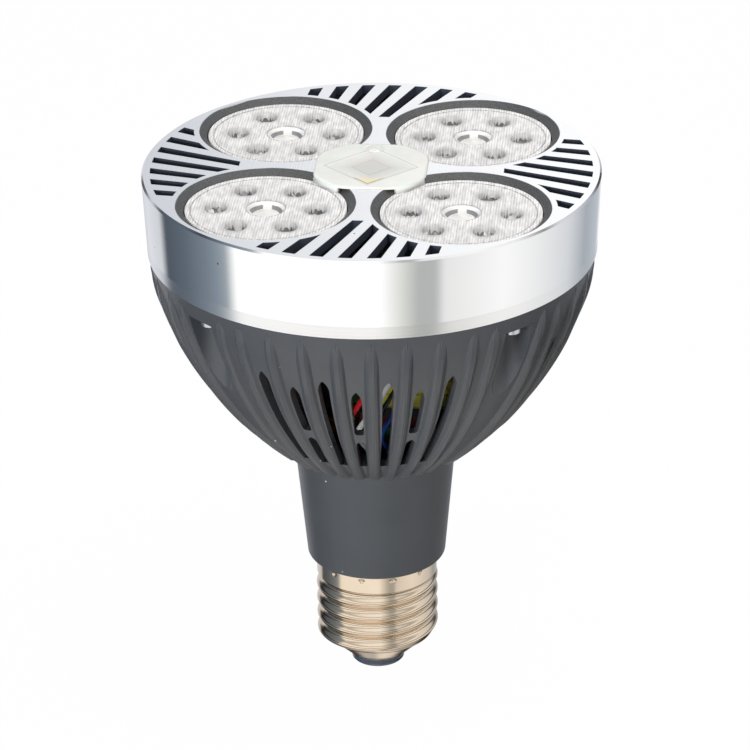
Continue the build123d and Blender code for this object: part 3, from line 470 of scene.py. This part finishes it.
# Lenses: seven collimating cells moulded as one in clear acrylic. The top is fluted to blur the seven spots
# into one, each outer cell has a well over its emitter, and the middle one a dish in a raised ring.
lens_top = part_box("lens_1")[1].z / mm
lens_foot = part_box("lens_1")[0].z / mm
lens_radius = 16.4
flute_pitch = 0.56
flute_height = 0.07
well_pitch = 10.2
well_radius = 2.3
well_depth = 2.2
well_turns = [60 * k for k in range(6)]
dish_radius = 4.0
dish_flat = 2.8
dish_depth = 1.3
lip_height = 0.16
lip_width = 0.2
flutes_from = 4.5
flutes_to = 15.2
knurl_count = 72
knurl_depth = 0.12
flange_depth = 1.5
lens_slices = 293
lens_columns = 111


def lens_relief(x, y):
    """Height of a lens's top over its plane: flutes h |cos(pi x / pitch)| between the wells, ring and rim,
    minus the wells, whose walls are smooth steps, plus Gaussian lips round the dish and a knurled rim."""
    r, turn = np.hypot(x, y), np.arctan2(y, x)
    d = np.min([np.hypot(x - well_pitch * np.cos(np.radians(t)), y - well_pitch * np.sin(np.radians(t)))
                for t in well_turns], axis=0)
    field = smooth(flutes_from, flutes_from + 0.4, r) * (1 - smooth(flutes_to - 0.3, flutes_to, r))
    field = field * smooth(well_radius, well_radius + 0.3, d)
    height = flute_height * (np.abs(np.cos(np.pi * x / flute_pitch)) - 1) * field
    well = 1 - smooth(well_radius - 0.25, well_radius, d)
    height -= well_depth * well * (1 - 0.35 * np.exp(-(d / 1.1) ** 2))
    height += lip_height * (np.exp(-((r - dish_radius - 0.15) / lip_width) ** 2) - 1)
    dish = 1 - smooth(dish_flat, dish_radius, r)
    height -= dish_depth * dish * (0.5 + 0.5 * np.minimum(r / dish_flat, 1))
    knurl = knurl_depth * (0.5 + 0.5 * np.cos(knurl_count * turn)) * (1 - smooth(15.5, 15.7, r))
    height += (lip_height - knurl) * smooth(flutes_to, flutes_to + 0.25, r)
    return height


def lens_body(place):
    """Closed loft of slices across x, each a loop over the fluted top and back under the flange and skirt."""
    x = np.linspace(-lens_radius + 0.01, lens_radius - 0.01, lens_slices)[:, None]
    reach = np.sqrt(lens_radius ** 2 - x ** 2)
    y = reach * np.sin(np.linspace(-np.pi / 2, np.pi / 2, lens_columns))[None]
    top = lens_top + lens_relief(np.broadcast_to(x, y.shape), y)
    under_y = reach * np.array([1.0, 1.0, 0.5, 0.0, -0.5, -1.0, -1.0])[None]
    under_z = np.array([lens_top - flange_depth] + [lens_foot] * 5 + [lens_top - flange_depth])
    under_z = np.broadcast_to(under_z, under_y.shape)
    y, z = np.hstack([y, under_y]), np.hstack([top, under_z])
    return np.stack([np.broadcast_to(x, y.shape) + place[0], y + place[1], z], axis=-1)


# Acrylic: clear and glossy. Its base colour paints the light and shade seen through it: a greyer ring of
# painted shade round each well for the cone of its cell, fine light and dark painted lines along the flutes,
# painted sparkle and shade in small facets in the wells, painted light over the dish with two dark arcs that
# are painted reflections of the dish, and broken lines of painted shade at the rim and round the dish's lip.
streak_width = 0.7143 * mm
streak_length = 3.125 * mm
painted_glint_width = 1.111 * mm
break_width = 1.429 * mm
cone_from = 2.4 * mm
cone_to = 4.0 * mm
arc_radius = 3.1 * mm
arc_half_width = 0.32 * mm
arc_gap = 0.9 * mm
arc_foot = 0.5 * mm
dish_edge = 3.9 * mm
rim_line_radius = 15.3 * mm
ring_line_radius = 4.05 * mm
rim_line_half_width = 0.16 * mm
ring_line_half_width = 0.14 * mm
acrylic, tree, shader, place = finish("clear_acrylic", {"Roughness": 0.05, "IOR": 1.49,
                                                        "Transmission Weight": 0.1})
flat = add(tree, "ShaderNodeVectorMath", {0: place, 1: (1.0, 1.0, 0.0)},
           operation="MULTIPLY").outputs["Vector"]
low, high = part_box("lens_1")
lens_place = abs(low.x + high.x) / 2
folded = add(tree, "ShaderNodeVectorMath", {0: flat}, operation="ABSOLUTE").outputs["Vector"]
folded = add(tree, "ShaderNodeVectorMath", {0: folded, 1: (lens_place, lens_place, 0.0)},
             operation="SUBTRACT")
folded = add(tree, "ShaderNodeVectorMath", {0: folded.outputs["Vector"]},
             operation="ABSOLUTE").outputs["Vector"]
nearest = [add(tree, "ShaderNodeVectorMath", {
    0: folded, 1: (well_pitch * mm * math.cos(t), well_pitch * mm * math.sin(t), 0.0)},
    operation="DISTANCE").outputs["Value"] for t in (0.0, math.pi / 3)]
to_cell = calc(tree, "MINIMUM", nearest[0], nearest[1])
# Painted shade: a greyer ring round each well, standing in for the cone of its cell seen through the acrylic
cone = add(tree, "ShaderNodeMapRange", {
    "Value": to_cell, "From Min": cone_from, "From Max": cone_to, "To Min": 0.55, "To Max": 0.0},
    interpolation_type="SMOOTHSTEP").outputs["Result"]
pit = calc(tree, "LESS_THAN", to_cell, (well_radius - 0.15) * mm)
side = add(tree, "ShaderNodeSeparateXYZ", {"Vector": place}).outputs["X"]
turns = calc(tree, "MULTIPLY", side, 2 * math.pi / (flute_pitch * mm))
flutes = calc(tree, "SINE", turns)
streak_place = stretched(tree, place, streak_width, streak_length, streak_length)
painted_streaks = noise(tree, streak_place, 1.0, 2.0)
painted_streaks = add(tree, "ShaderNodeMapRange", {"Value": painted_streaks, "From Min": 0.35,
                                           "From Max": 0.65}).outputs["Result"]
# Painted light and shade: fine light and dark lines along the flutes at their pitch, varied by streaky noise
lines = calc(tree, "MULTIPLY_ADD", flutes, 0.25, 0.25)
lines = calc(tree, "MULTIPLY_ADD", painted_streaks, 0.5, lines)
# Painted sparkle and shade in the wells: small facets from dark grey to white over a dark floor
painted_glints = add(tree, "ShaderNodeTexVoronoi", {"Vector": place, "Scale": 1 / painted_glint_width}).outputs["Color"]
painted_glints = add(tree, "ShaderNodeSeparateColor", {"Color": painted_glints}).outputs["Red"]
painted_glints = calc(tree, "POWER", painted_glints, 3.5)
painted_well_glints = mixed(tree, painted_glints, linear("#66676a"), linear("#ffffff"))
shade = mixed(tree, lines, linear("#c0c0c1"), linear("#fdfdfd"))
shade = mixed(tree, cone, shade, linear("#aeaeb0"))
shade = mixed(tree, pit, shade, painted_well_glints)
outward = add(tree, "ShaderNodeVectorMath", {0: folded}, operation="LENGTH").outputs["Value"]
axes = add(tree, "ShaderNodeSeparateXYZ", {"Vector": place}).outputs
half = calc(tree, "SIGN", axes["Y"])
far = calc(tree, "MULTIPLY_ADD", half, -lens_place, axes["Y"])
# Painted reflections: two dark arcs in each dish, on its +y side only
arc = calc(tree, "COMPARE", outward, arc_radius, arc_half_width)
beside = add(tree, "ShaderNodeSeparateXYZ", {"Vector": folded}).outputs["X"]
arc_side = calc(tree, "GREATER_THAN", beside, arc_gap)
arc = calc(tree, "MULTIPLY", arc, arc_side)
arc_side = calc(tree, "GREATER_THAN", far, arc_foot)
arc = calc(tree, "MULTIPLY", arc, arc_side)
# Painted light: the dish is paler than the rest of the top
painted_dish_light = calc(tree, "LESS_THAN", outward, dish_edge)
shade = mixed(tree, painted_dish_light, shade, linear("#eeeeec"))
shade = mixed(tree, arc, shade, linear("#8f9094"))
# Painted shade: thin broken dark lines at the rim and round the dish's lip
rim_line = calc(tree, "COMPARE", outward, rim_line_radius, rim_line_half_width)
ring_line = calc(tree, "COMPARE", outward, ring_line_radius, ring_line_half_width)
painted_edge_shade = calc(tree, "MAXIMUM", rim_line, ring_line)
broken = add(tree, "ShaderNodeTexNoise", {"Vector": place, "Scale": 1 / break_width}).outputs["Fac"]
painted_edge_shade = calc(tree, "MULTIPLY", painted_edge_shade, broken)
shade = mixed(tree, painted_edge_shade, shade, linear("#6f7075"))
tree.links.new(shade, shader.inputs["Base Color"])
for k in board_numbers:
    low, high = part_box(f"lens_{k}")
    centre = ((low.x + high.x) / 2 / mm, (low.y + high.y) / 2 / mm)
    grid_piece(f"fluted_lens_{k}", [lens_body(centre)], acrylic, [f"lens_{k}"])

# Clamp: one frosted polycarbonate moulding over the inner edges of the four lenses. Its top slopes from a low
# rim to a square with a dished middle and a small gate boss, and its stem takes a brass insert.
clamp_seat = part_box("face_cap")[1].z / mm
clamp_flat = 11.7
clamp_diagonal = 12.6
clamp_rim = 0.4
clamp_crown = 0.62
crown_half_diagonal = 9.7
dish_half_diagonal = 9.2
square_shift = 0.9
pocket_half_diagonal = 4.0
boss_radius = 1.6
boss_place = 8.6
stem_radius = 4.0
insert_radius = 2.6
insert_length = 6.0
ridge_softness = 0.05
edge_softness = 0.12
basin_slope = 3.6
basin_depth = 0.2
basin_step = 0.08
pocket_depth = 0.1
boss_height = 0.14
groove_depth = 0.22
groove_width = 0.16
corner_power = 18
pad_depth = 1.04
clamp_columns = 192
cover_rows = 72


def clamp_outline(turn):
    """Distance to the rim in a direction: a soft minimum, by a power mean, of four flats and four diagonal
    flats."""
    sides = [clamp_flat / np.maximum(np.abs(np.cos(turn)), 1e-6),
             clamp_flat / np.maximum(np.abs(np.sin(turn)), 1e-6),
             clamp_diagonal / np.maximum(np.abs(np.cos(turn - np.pi / 4)), 1e-6),
             clamp_diagonal / np.maximum(np.abs(np.sin(turn - np.pi / 4)), 1e-6)]
    return np.sum([s ** -float(corner_power) for s in sides], axis=0) ** (-1 / corner_power)


def clamp_relief(x, y):
    """Height over the seat: the least of the crown and the slopes up from the flats, rounded by a soft
    minimum -w log(sum exp(-h / w)), cut by the dish and the square pocket, with the boss and its groove
    added."""
    along, across = (np.abs(x) + np.abs(y)) / np.sqrt(2), np.maximum(np.abs(x), np.abs(y))
    square = (np.abs(x) + np.abs(y + square_shift)) / np.sqrt(2)
    w = ridge_softness
    slope = (clamp_crown - clamp_rim) / (clamp_diagonal - crown_half_diagonal / np.sqrt(2))
    steep = (clamp_crown - clamp_rim) / (clamp_flat - crown_half_diagonal)
    faces = [np.full_like(x, clamp_crown), clamp_rim + (clamp_diagonal - along) * slope,
             clamp_rim + (clamp_flat - across) * steep]
    height = -w * np.log(np.sum([np.exp(-h / w) for h in faces], axis=0))
    dish = dish_half_diagonal / np.sqrt(2) - square
    height -= basin_depth * smooth(0, basin_slope, dish) + basin_step * smooth(-0.1, 0.2, dish)
    height -= pocket_depth * smooth(-edge_softness, edge_softness, pocket_half_diagonal / np.sqrt(2) - square)
    boss = np.hypot(x, y - boss_place)
    height += boss_height * (1 - smooth(boss_radius - 0.25, boss_radius, boss)) * (y > 0)
    height -= groove_depth * np.exp(-((boss - boss_radius - 0.2) / groove_width) ** 2)
    return height


turn = np.linspace(0, 2 * np.pi, clamp_columns, endpoint=False)
share = np.concatenate([np.linspace(0.004, 0.965, cover_rows),
                        [0.985, 0.996, 1.0, 1.0, 0.9, stem_radius / 12]])
reach = share[:, None] * clamp_outline(turn)[None]
x, y = reach * np.cos(turn), reach * np.sin(turn)
top = clamp_seat + clamp_relief(x, y)
edge = np.array([0.07, 0.2, 0.42])
top[cover_rows:cover_rows + 3] -= edge[:, None]
top[cover_rows + 3:] = clamp_seat
stem_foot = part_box("lens_clamp")[0].z / mm
cover = np.stack([x, y, top], axis=-1)
profile = ((stem_radius, clamp_seat - 0.02), (stem_radius, stem_foot), (insert_radius, stem_foot),
           (insert_radius, stem_foot + insert_length), (0.02, stem_foot + insert_length + 0.3))
stem = np.stack([np.stack([r * np.cos(turn), r * np.sin(turn), np.full_like(turn, z)], axis=-1)
                 for r, z in profile])
cover = np.concatenate([cover, stem])
pad_turns = [45, 135, 225, 315]
pads = []
for pad_turn in pad_turns:
    c, s = math.cos(math.radians(pad_turn)), math.sin(math.radians(pad_turn))
    loop = np.array([(11.6, -3.8), (12.55, -3.7), (12.6, 0.0), (12.55, 3.7), (11.6, 3.8)])
    x, y = loop[:, 0] * c - loop[:, 1] * s, loop[:, 0] * s + loop[:, 1] * c
    pads.append(np.stack([np.stack([x, y, np.full_like(x, z)], axis=-1)
                          for z in (clamp_seat - pad_depth, clamp_seat + 0.05)]))
# Frosted polycarbonate: milky and softly shiny. Its dish is greyer towards the middle in painted shade, with
# thin lines of painted shade along the crown's ridge and round the pocket. On the dish's corner towards -y
# lies a pale yellow painted reflection of the brass insert under the pocket, edged by a brown line of
# painted shade.
milk_patch = 6.25 * mm
gleam_from = -7.3 * mm
gleam_to = -6.5 * mm
crease_half_width = 0.17 * mm
brink_half_width = 0.2 * mm
polycarbonate, tree, shader, place = finish("frosted_polycarbonate", {
    "Roughness": 0.12, "IOR": 1.5, "Transmission Weight": 0.15, "Subsurface Weight": 0.15,
    "Subsurface Scale": 0.002})
axes = add(tree, "ShaderNodeSeparateXYZ", {"Vector": place}).outputs
reach_x = calc(tree, "ABSOLUTE", axes["X"])
shifted = calc(tree, "ADD", axes["Y"], square_shift * mm)
reach_y = calc(tree, "ABSOLUTE", shifted)
square = calc(tree, "ADD", reach_x, reach_y)
inner = calc(tree, "LESS_THAN", square, (dish_half_diagonal - 0.35) * mm)
near = add(tree, "ShaderNodeMapRange", {
    "Value": axes["Y"], "From Min": gleam_from, "From Max": gleam_to, "To Min": 1.0,
    "To Max": 0.0}).outputs["Result"]
# Painted reflection of the brass insert: pale yellow over the dish's corner towards -y
painted_gleam = calc(tree, "MULTIPLY", inner, near)
# Painted shade: a thin grey line along the crown's ridge
painted_crease_shade = calc(tree, "COMPARE", square, crown_half_diagonal * mm, crease_half_width)
# Painted shade: a brown line along the dish's edge on that corner
painted_brink_shade = calc(tree, "COMPARE", square, (dish_half_diagonal - 0.2) * mm, brink_half_width)
painted_brink_shade = calc(tree, "MULTIPLY", painted_brink_shade, near)
cloud = noise(tree, place, milk_patch, 3.0)
shade = mixed(tree, cloud, linear("#e0e0dc"), linear("#f7f7f3"))
# Painted shade: the dish greyer towards its middle
painted_dish_shade = add(tree, "ShaderNodeMapRange", {
    "Value": square, "From Min": 3.0 * mm, "From Max": 8.0 * mm, "To Min": 0.9,
    "To Max": 0.2}).outputs["Result"]
painted_dish_shade = calc(tree, "MULTIPLY", inner, painted_dish_shade)
# Painted shade: a thin grey line round the pocket's edge
pocket = calc(tree, "COMPARE", square, pocket_half_diagonal * mm, 0.12 * mm)
for part, code in ((painted_dish_shade, "#cbcbc8"), (pocket, "#c4c4c1"), (painted_crease_shade, "#cacac7"),
                   (painted_gleam, "#f3e4bc"), (painted_brink_shade, "#8d7a5c")):
    shade = mixed(tree, part, shade, linear(code))
tree.links.new(shade, shader.inputs["Base Color"])
grid_piece("clamp_cover", [cover] + pads, polycarbonate, ["lens_clamp"])

# Face cap: aluminium, pressure die-cast, then its face and rim turned bright. Inside the lens wells and the
# air slots the casting stays as it left the die: dark, matt and grainy.
face_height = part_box("face_cap")[1].z
rim_width = 0.046
mouth_radius = 18.6 * mm
turned_skin = 0.05 * mm
foot_band_height = 2.6 * mm
# Turned aluminium: near-white metal with fine rings from the tool, a few dark pores, and grainy grey skin
# where it wasn't cut. Rings and grit are drawn coarser than they are.
grit_width = 0.3125 * mm
tool_mark_width = 0.4167 * mm
bright_patch = 16.67 * mm
pore_spacing = 4.762 * mm
porous_share = 0.14
cast, tree, shader, place = finish("turned_aluminium", {"Metallic": 1.0})
axes = add(tree, "ShaderNodeSeparateXYZ", {"Vector": place}).outputs
flat = add(tree, "ShaderNodeCombineXYZ", {"X": axes["X"], "Y": axes["Y"]}).outputs["Vector"]
out = add(tree, "ShaderNodeVectorMath", {0: flat}, operation="LENGTH").outputs["Value"]
deep = calc(tree, "LESS_THAN", axes["Z"], face_height - turned_skin)
inside = calc(tree, "LESS_THAN", out, rim_width)
raw = calc(tree, "MULTIPLY", deep, inside)
grit = noise(tree, place, grit_width, 2.0)
grey = mixed(tree, grit, linear("#5a5a5c"), linear("#a6a6a4"))
folded = add(tree, "ShaderNodeVectorMath", {0: flat}, operation="ABSOLUTE").outputs["Vector"]
to_well = add(tree, "ShaderNodeVectorMath", {0: folded, 1: (lens_place, lens_place, 0.0)},
              operation="DISTANCE").outputs["Value"]
slotted = calc(tree, "GREATER_THAN", to_well, mouth_radius)
dark = mixed(tree, slotted, grey, linear("#3e4450"))
rings = add(tree, "ShaderNodeCombineXYZ", {"X": out, "Y": axes["Z"]}).outputs["Vector"]
marks = noise(tree, rings, tool_mark_width, 3.0)
patch = noise(tree, place, bright_patch, 2.0)
bright = mixed(tree, patch, linear("#f4f5f6"), linear("#fefefe"))
cells = add(tree, "ShaderNodeTexVoronoi", {"Vector": place, "Scale": 1 / pore_spacing})
pitted = add(tree, "ShaderNodeMapRange", {
    "Value": cells.outputs["Distance"], "From Min": 0.035, "From Max": 0.06, "To Min": 0.8, "To Max": 0.0})
some = add(tree, "ShaderNodeSeparateColor", {"Color": cells.outputs["Color"]}).outputs["Green"]
some = calc(tree, "GREATER_THAN", some, 1 - porous_share)
pits = calc(tree, "MULTIPLY", pitted.outputs["Result"], some)
bright = mixed(tree, pits, bright, linear("#74706c"))
shade = mixed(tree, raw, bright, dark)
tree.links.new(shade, shader.inputs["Base Color"])
sunk = calc(tree, "MULTIPLY", raw, slotted)
metal = calc(tree, "SUBTRACT", 1.0, sunk)
tree.links.new(metal, shader.inputs["Metallic"])
foot_band = calc(tree, "LESS_THAN", axes["Z"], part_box("face_cap")[0].z + foot_band_height)
plain = add(tree, "ShaderNodeMapRange", {
    "Value": foot_band, "To Min": 0.09, "To Max": 0.2}).outputs["Result"]
shine = add(tree, "ShaderNodeMix", {"Factor": raw, "A": plain, "B": 0.6}, data_type="FLOAT").outputs["Result"]
tree.links.new(shine, shader.inputs["Roughness"])
relief = add(tree, "ShaderNodeMix", {"Factor": raw, "A": marks, "B": grit},
             data_type="FLOAT").outputs["Result"]
roughen(tree, shader, relief, 0.08, 0.1 * mm)
dress(cast, "face_cap")

# Camera: a long lens at the photograph's viewpoint, nearly straight in front of the lamp and looking down on
# its face, rolled slightly as the photograph is.
camera_distance = 792.0
camera_roll = -0.814
camera_turn = -84.9
camera_rise = 26.106
focal_length = 179.4
target = Vector((0.137, 0.012, 68.33)) * mm
across = math.radians(camera_turn)
rise = math.radians(camera_rise)
away = Vector((math.cos(across) * math.cos(rise), math.sin(across) * math.cos(rise), math.sin(rise)))
camera = bpy.data.objects.new("camera", bpy.data.cameras.new("camera"))
bpy.context.scene.collection.objects.link(camera)
camera.data.lens = focal_length
camera.data.sensor_width = 36.0
camera.data.clip_start = 0.05
camera.location = target + away * camera_distance * mm
camera.rotation_mode = "QUATERNION"
roll = Matrix.Rotation(math.radians(camera_roll), 4, "Z").to_quaternion()
camera.rotation_quaternion = away.to_track_quat("Z", "Y") @ roll
bpy.context.scene.camera = camera

# Floor: a sheet of matt white paper under the tip. To the eye it is as white as the room behind it, and it
# keeps a trace of the lamp's shadow.
floor_reach = 4.0
paper_glow = 0.985
corners = [(x * floor_reach, y * floor_reach, 0.0) for x, y in ((-1, -1), (1, -1), (1, 1), (-1, 1))]
floor_mesh = bpy.data.meshes.new("floor")
floor_mesh.from_pydata(corners, [], [(0, 1, 2, 3)])
floor = bpy.data.objects.new("floor", floor_mesh)
bpy.context.scene.collection.objects.link(floor)
floor.visible_glossy = False
paper = bpy.data.materials.new("paper")
paper.use_nodes = True
tree = paper.node_tree
tree.nodes.clear()
lit = add(tree, "ShaderNodeBsdfDiffuse", {"Color": linear("#ececec")}).outputs["BSDF"]
glow = add(tree, "ShaderNodeEmission", {"Color": linear("#ffffff"), "Strength": 1.0}).outputs["Emission"]
rays = add(tree, "ShaderNodeLightPath", {})
seen = calc(tree, "MAXIMUM", rays.outputs["Is Camera Ray"], rays.outputs["Is Glossy Ray"])
seen = calc(tree, "MAXIMUM", seen, rays.outputs["Is Transmission Ray"])
share = calc(tree, "MULTIPLY", seen, paper_glow)
mix = add(tree, "ShaderNodeMixShader", {0: share, 1: lit, 2: glow}).outputs["Shader"]
add(tree, "ShaderNodeOutputMaterial", {"Surface": mix})
floor_mesh.materials.append(paper)

# Room round the lamp: white to the eye, and even and slightly blue for matt surfaces. Gloss and metal show
# grey and blue-grey screens round its walls, given as a bearing in degrees and a shade, and layers up them,
# given as the z of the direction and a shade.
screens = ((-180, "#6f7883"), (-172, "#7b8792"), (-165, "#939ba2"), (-159, "#fbfbfa"), (-82, "#ffffff"),
           (-70, "#d2d3ce"), (-62, "#adafae"), (-53, "#aeb0b0"), (-48, "#e0e0df"), (-15, "#f2f2f1"),
           (5, "#e6e6e6"), (33, "#ccced2"), (52, "#9fa5ac"), (75, "#b4b9c0"), (90, "#fbfbfc"),
           (94, "#f1f2f4"), (99, "#c4c7cd"), (120, "#d4d6dc"), (139, "#c9cbd0"), (146, "#4b535d"),
           (165, "#5a646f"), (180, "#6f7883"))
heights = ((-1.0, "#f4ece2"), (-0.8, "#efe7dc"), (-0.74, "#5a544d"), (-0.66, "#35312d"), (-0.6, "#6a645d"),
           (-0.55, "#f4ece2"), (-0.52, "#ffffff"), (-0.04, "#ffffff"), (0.05, "#6b6762"), (0.15, "#7d7974"),
           (0.25, "#ffffff"), (0.52, "#ffffff"), (0.6, "#a5a19b"), (0.7, "#ffffff"), (1.0, "#ffffff"))


def set_stops(ramp, colours):
    """Fills a colour ramp with (position, hex colour) pairs, in rising order."""
    stops = ramp.color_ramp.elements
    while len(stops) < len(colours):
        stops.new(0.5)
    for stop, (position, code) in zip(stops, colours):
        stop.position = position
        stop.color = linear(code)


soft_level = 0.2
gloss_level = 1.12
world = bpy.data.worlds.new("studio")
bpy.context.scene.world = world
world.use_nodes = True
tree = world.node_tree
tree.nodes.clear()
rays = add(tree, "ShaderNodeLightPath", {})
way = add(tree, "ShaderNodeTexCoord", {}).outputs["Generated"]
axes = add(tree, "ShaderNodeSeparateXYZ", {"Vector": way}).outputs
bearing = calc(tree, "ARCTAN2", axes["Y"], axes["X"])
round_share = add(tree, "ShaderNodeMapRange", {
    "Value": bearing, "From Min": -math.pi, "From Max": math.pi}).outputs["Result"]
wall = add(tree, "ShaderNodeValToRGB", {"Fac": round_share})
set_stops(wall, [((turn + 180) / 360, code) for turn, code in screens])
level = add(tree, "ShaderNodeMapRange", {"Value": axes["Z"], "From Min": -1.0,
                                         "From Max": 1.0}).outputs["Result"]
layers = add(tree, "ShaderNodeValToRGB", {"Fac": level})
set_stops(layers, [((z + 1) / 2, code) for z, code in heights])
room_shade = add(tree, "ShaderNodeMix", {"Factor": 1.0, "A": wall.outputs["Color"],
                                         "B": layers.outputs["Color"]}, data_type="RGBA",
                 blend_type="MULTIPLY").outputs["Result"]
soft = [soft_level * c for c in linear("#ccd9f4")[:3]] + [1.0]
room_shade = mixed(tree, rays.outputs["Is Glossy Ray"], soft, room_shade)
seen = calc(tree, "MAXIMUM", rays.outputs["Is Camera Ray"], rays.outputs["Is Transmission Ray"])
room_shade = mixed(tree, seen, room_shade, linear("#ffffff"))
bright = add(tree, "ShaderNodeMapRange", {
    "Value": rays.outputs["Is Glossy Ray"], "To Min": 1.0, "To Max": gloss_level}).outputs["Result"]
room = add(tree, "ShaderNodeBackground", {"Color": room_shade, "Strength": bright}).outputs["Background"]
add(tree, "ShaderNodeOutputWorld", {"Surface": room})

# Softboxes: one wide above, slightly warm, and a small one to the left of the camera, which shades the neck.
# Gloss doesn't show them.
for name, place, size, power, shade in (("softbox_top", (0.2, -0.05, 1.0), 0.8, 10.4, "#fffaf3"),
                                        ("softbox_left", (-0.45, -1.03, 0.25), 0.35, 12.2, "#ffffff")):
    lamp = bpy.data.lights.new(name, "AREA")
    lamp.shape = "SQUARE"
    lamp.size = size
    lamp.energy = power
    lamp.color = linear(shade)[:3]
    holder = bpy.data.objects.new(name, lamp)
    bpy.context.scene.collection.objects.link(holder)
    holder.visible_glossy = False
    holder.location = place
    holder.rotation_mode = "QUATERNION"
    holder.rotation_quaternion = (Vector(place) - Vector((0, 0, 0.07))).to_track_quat("Z", "Y")

# Colours as written
bpy.context.scene.view_settings.view_transform = "Standard"
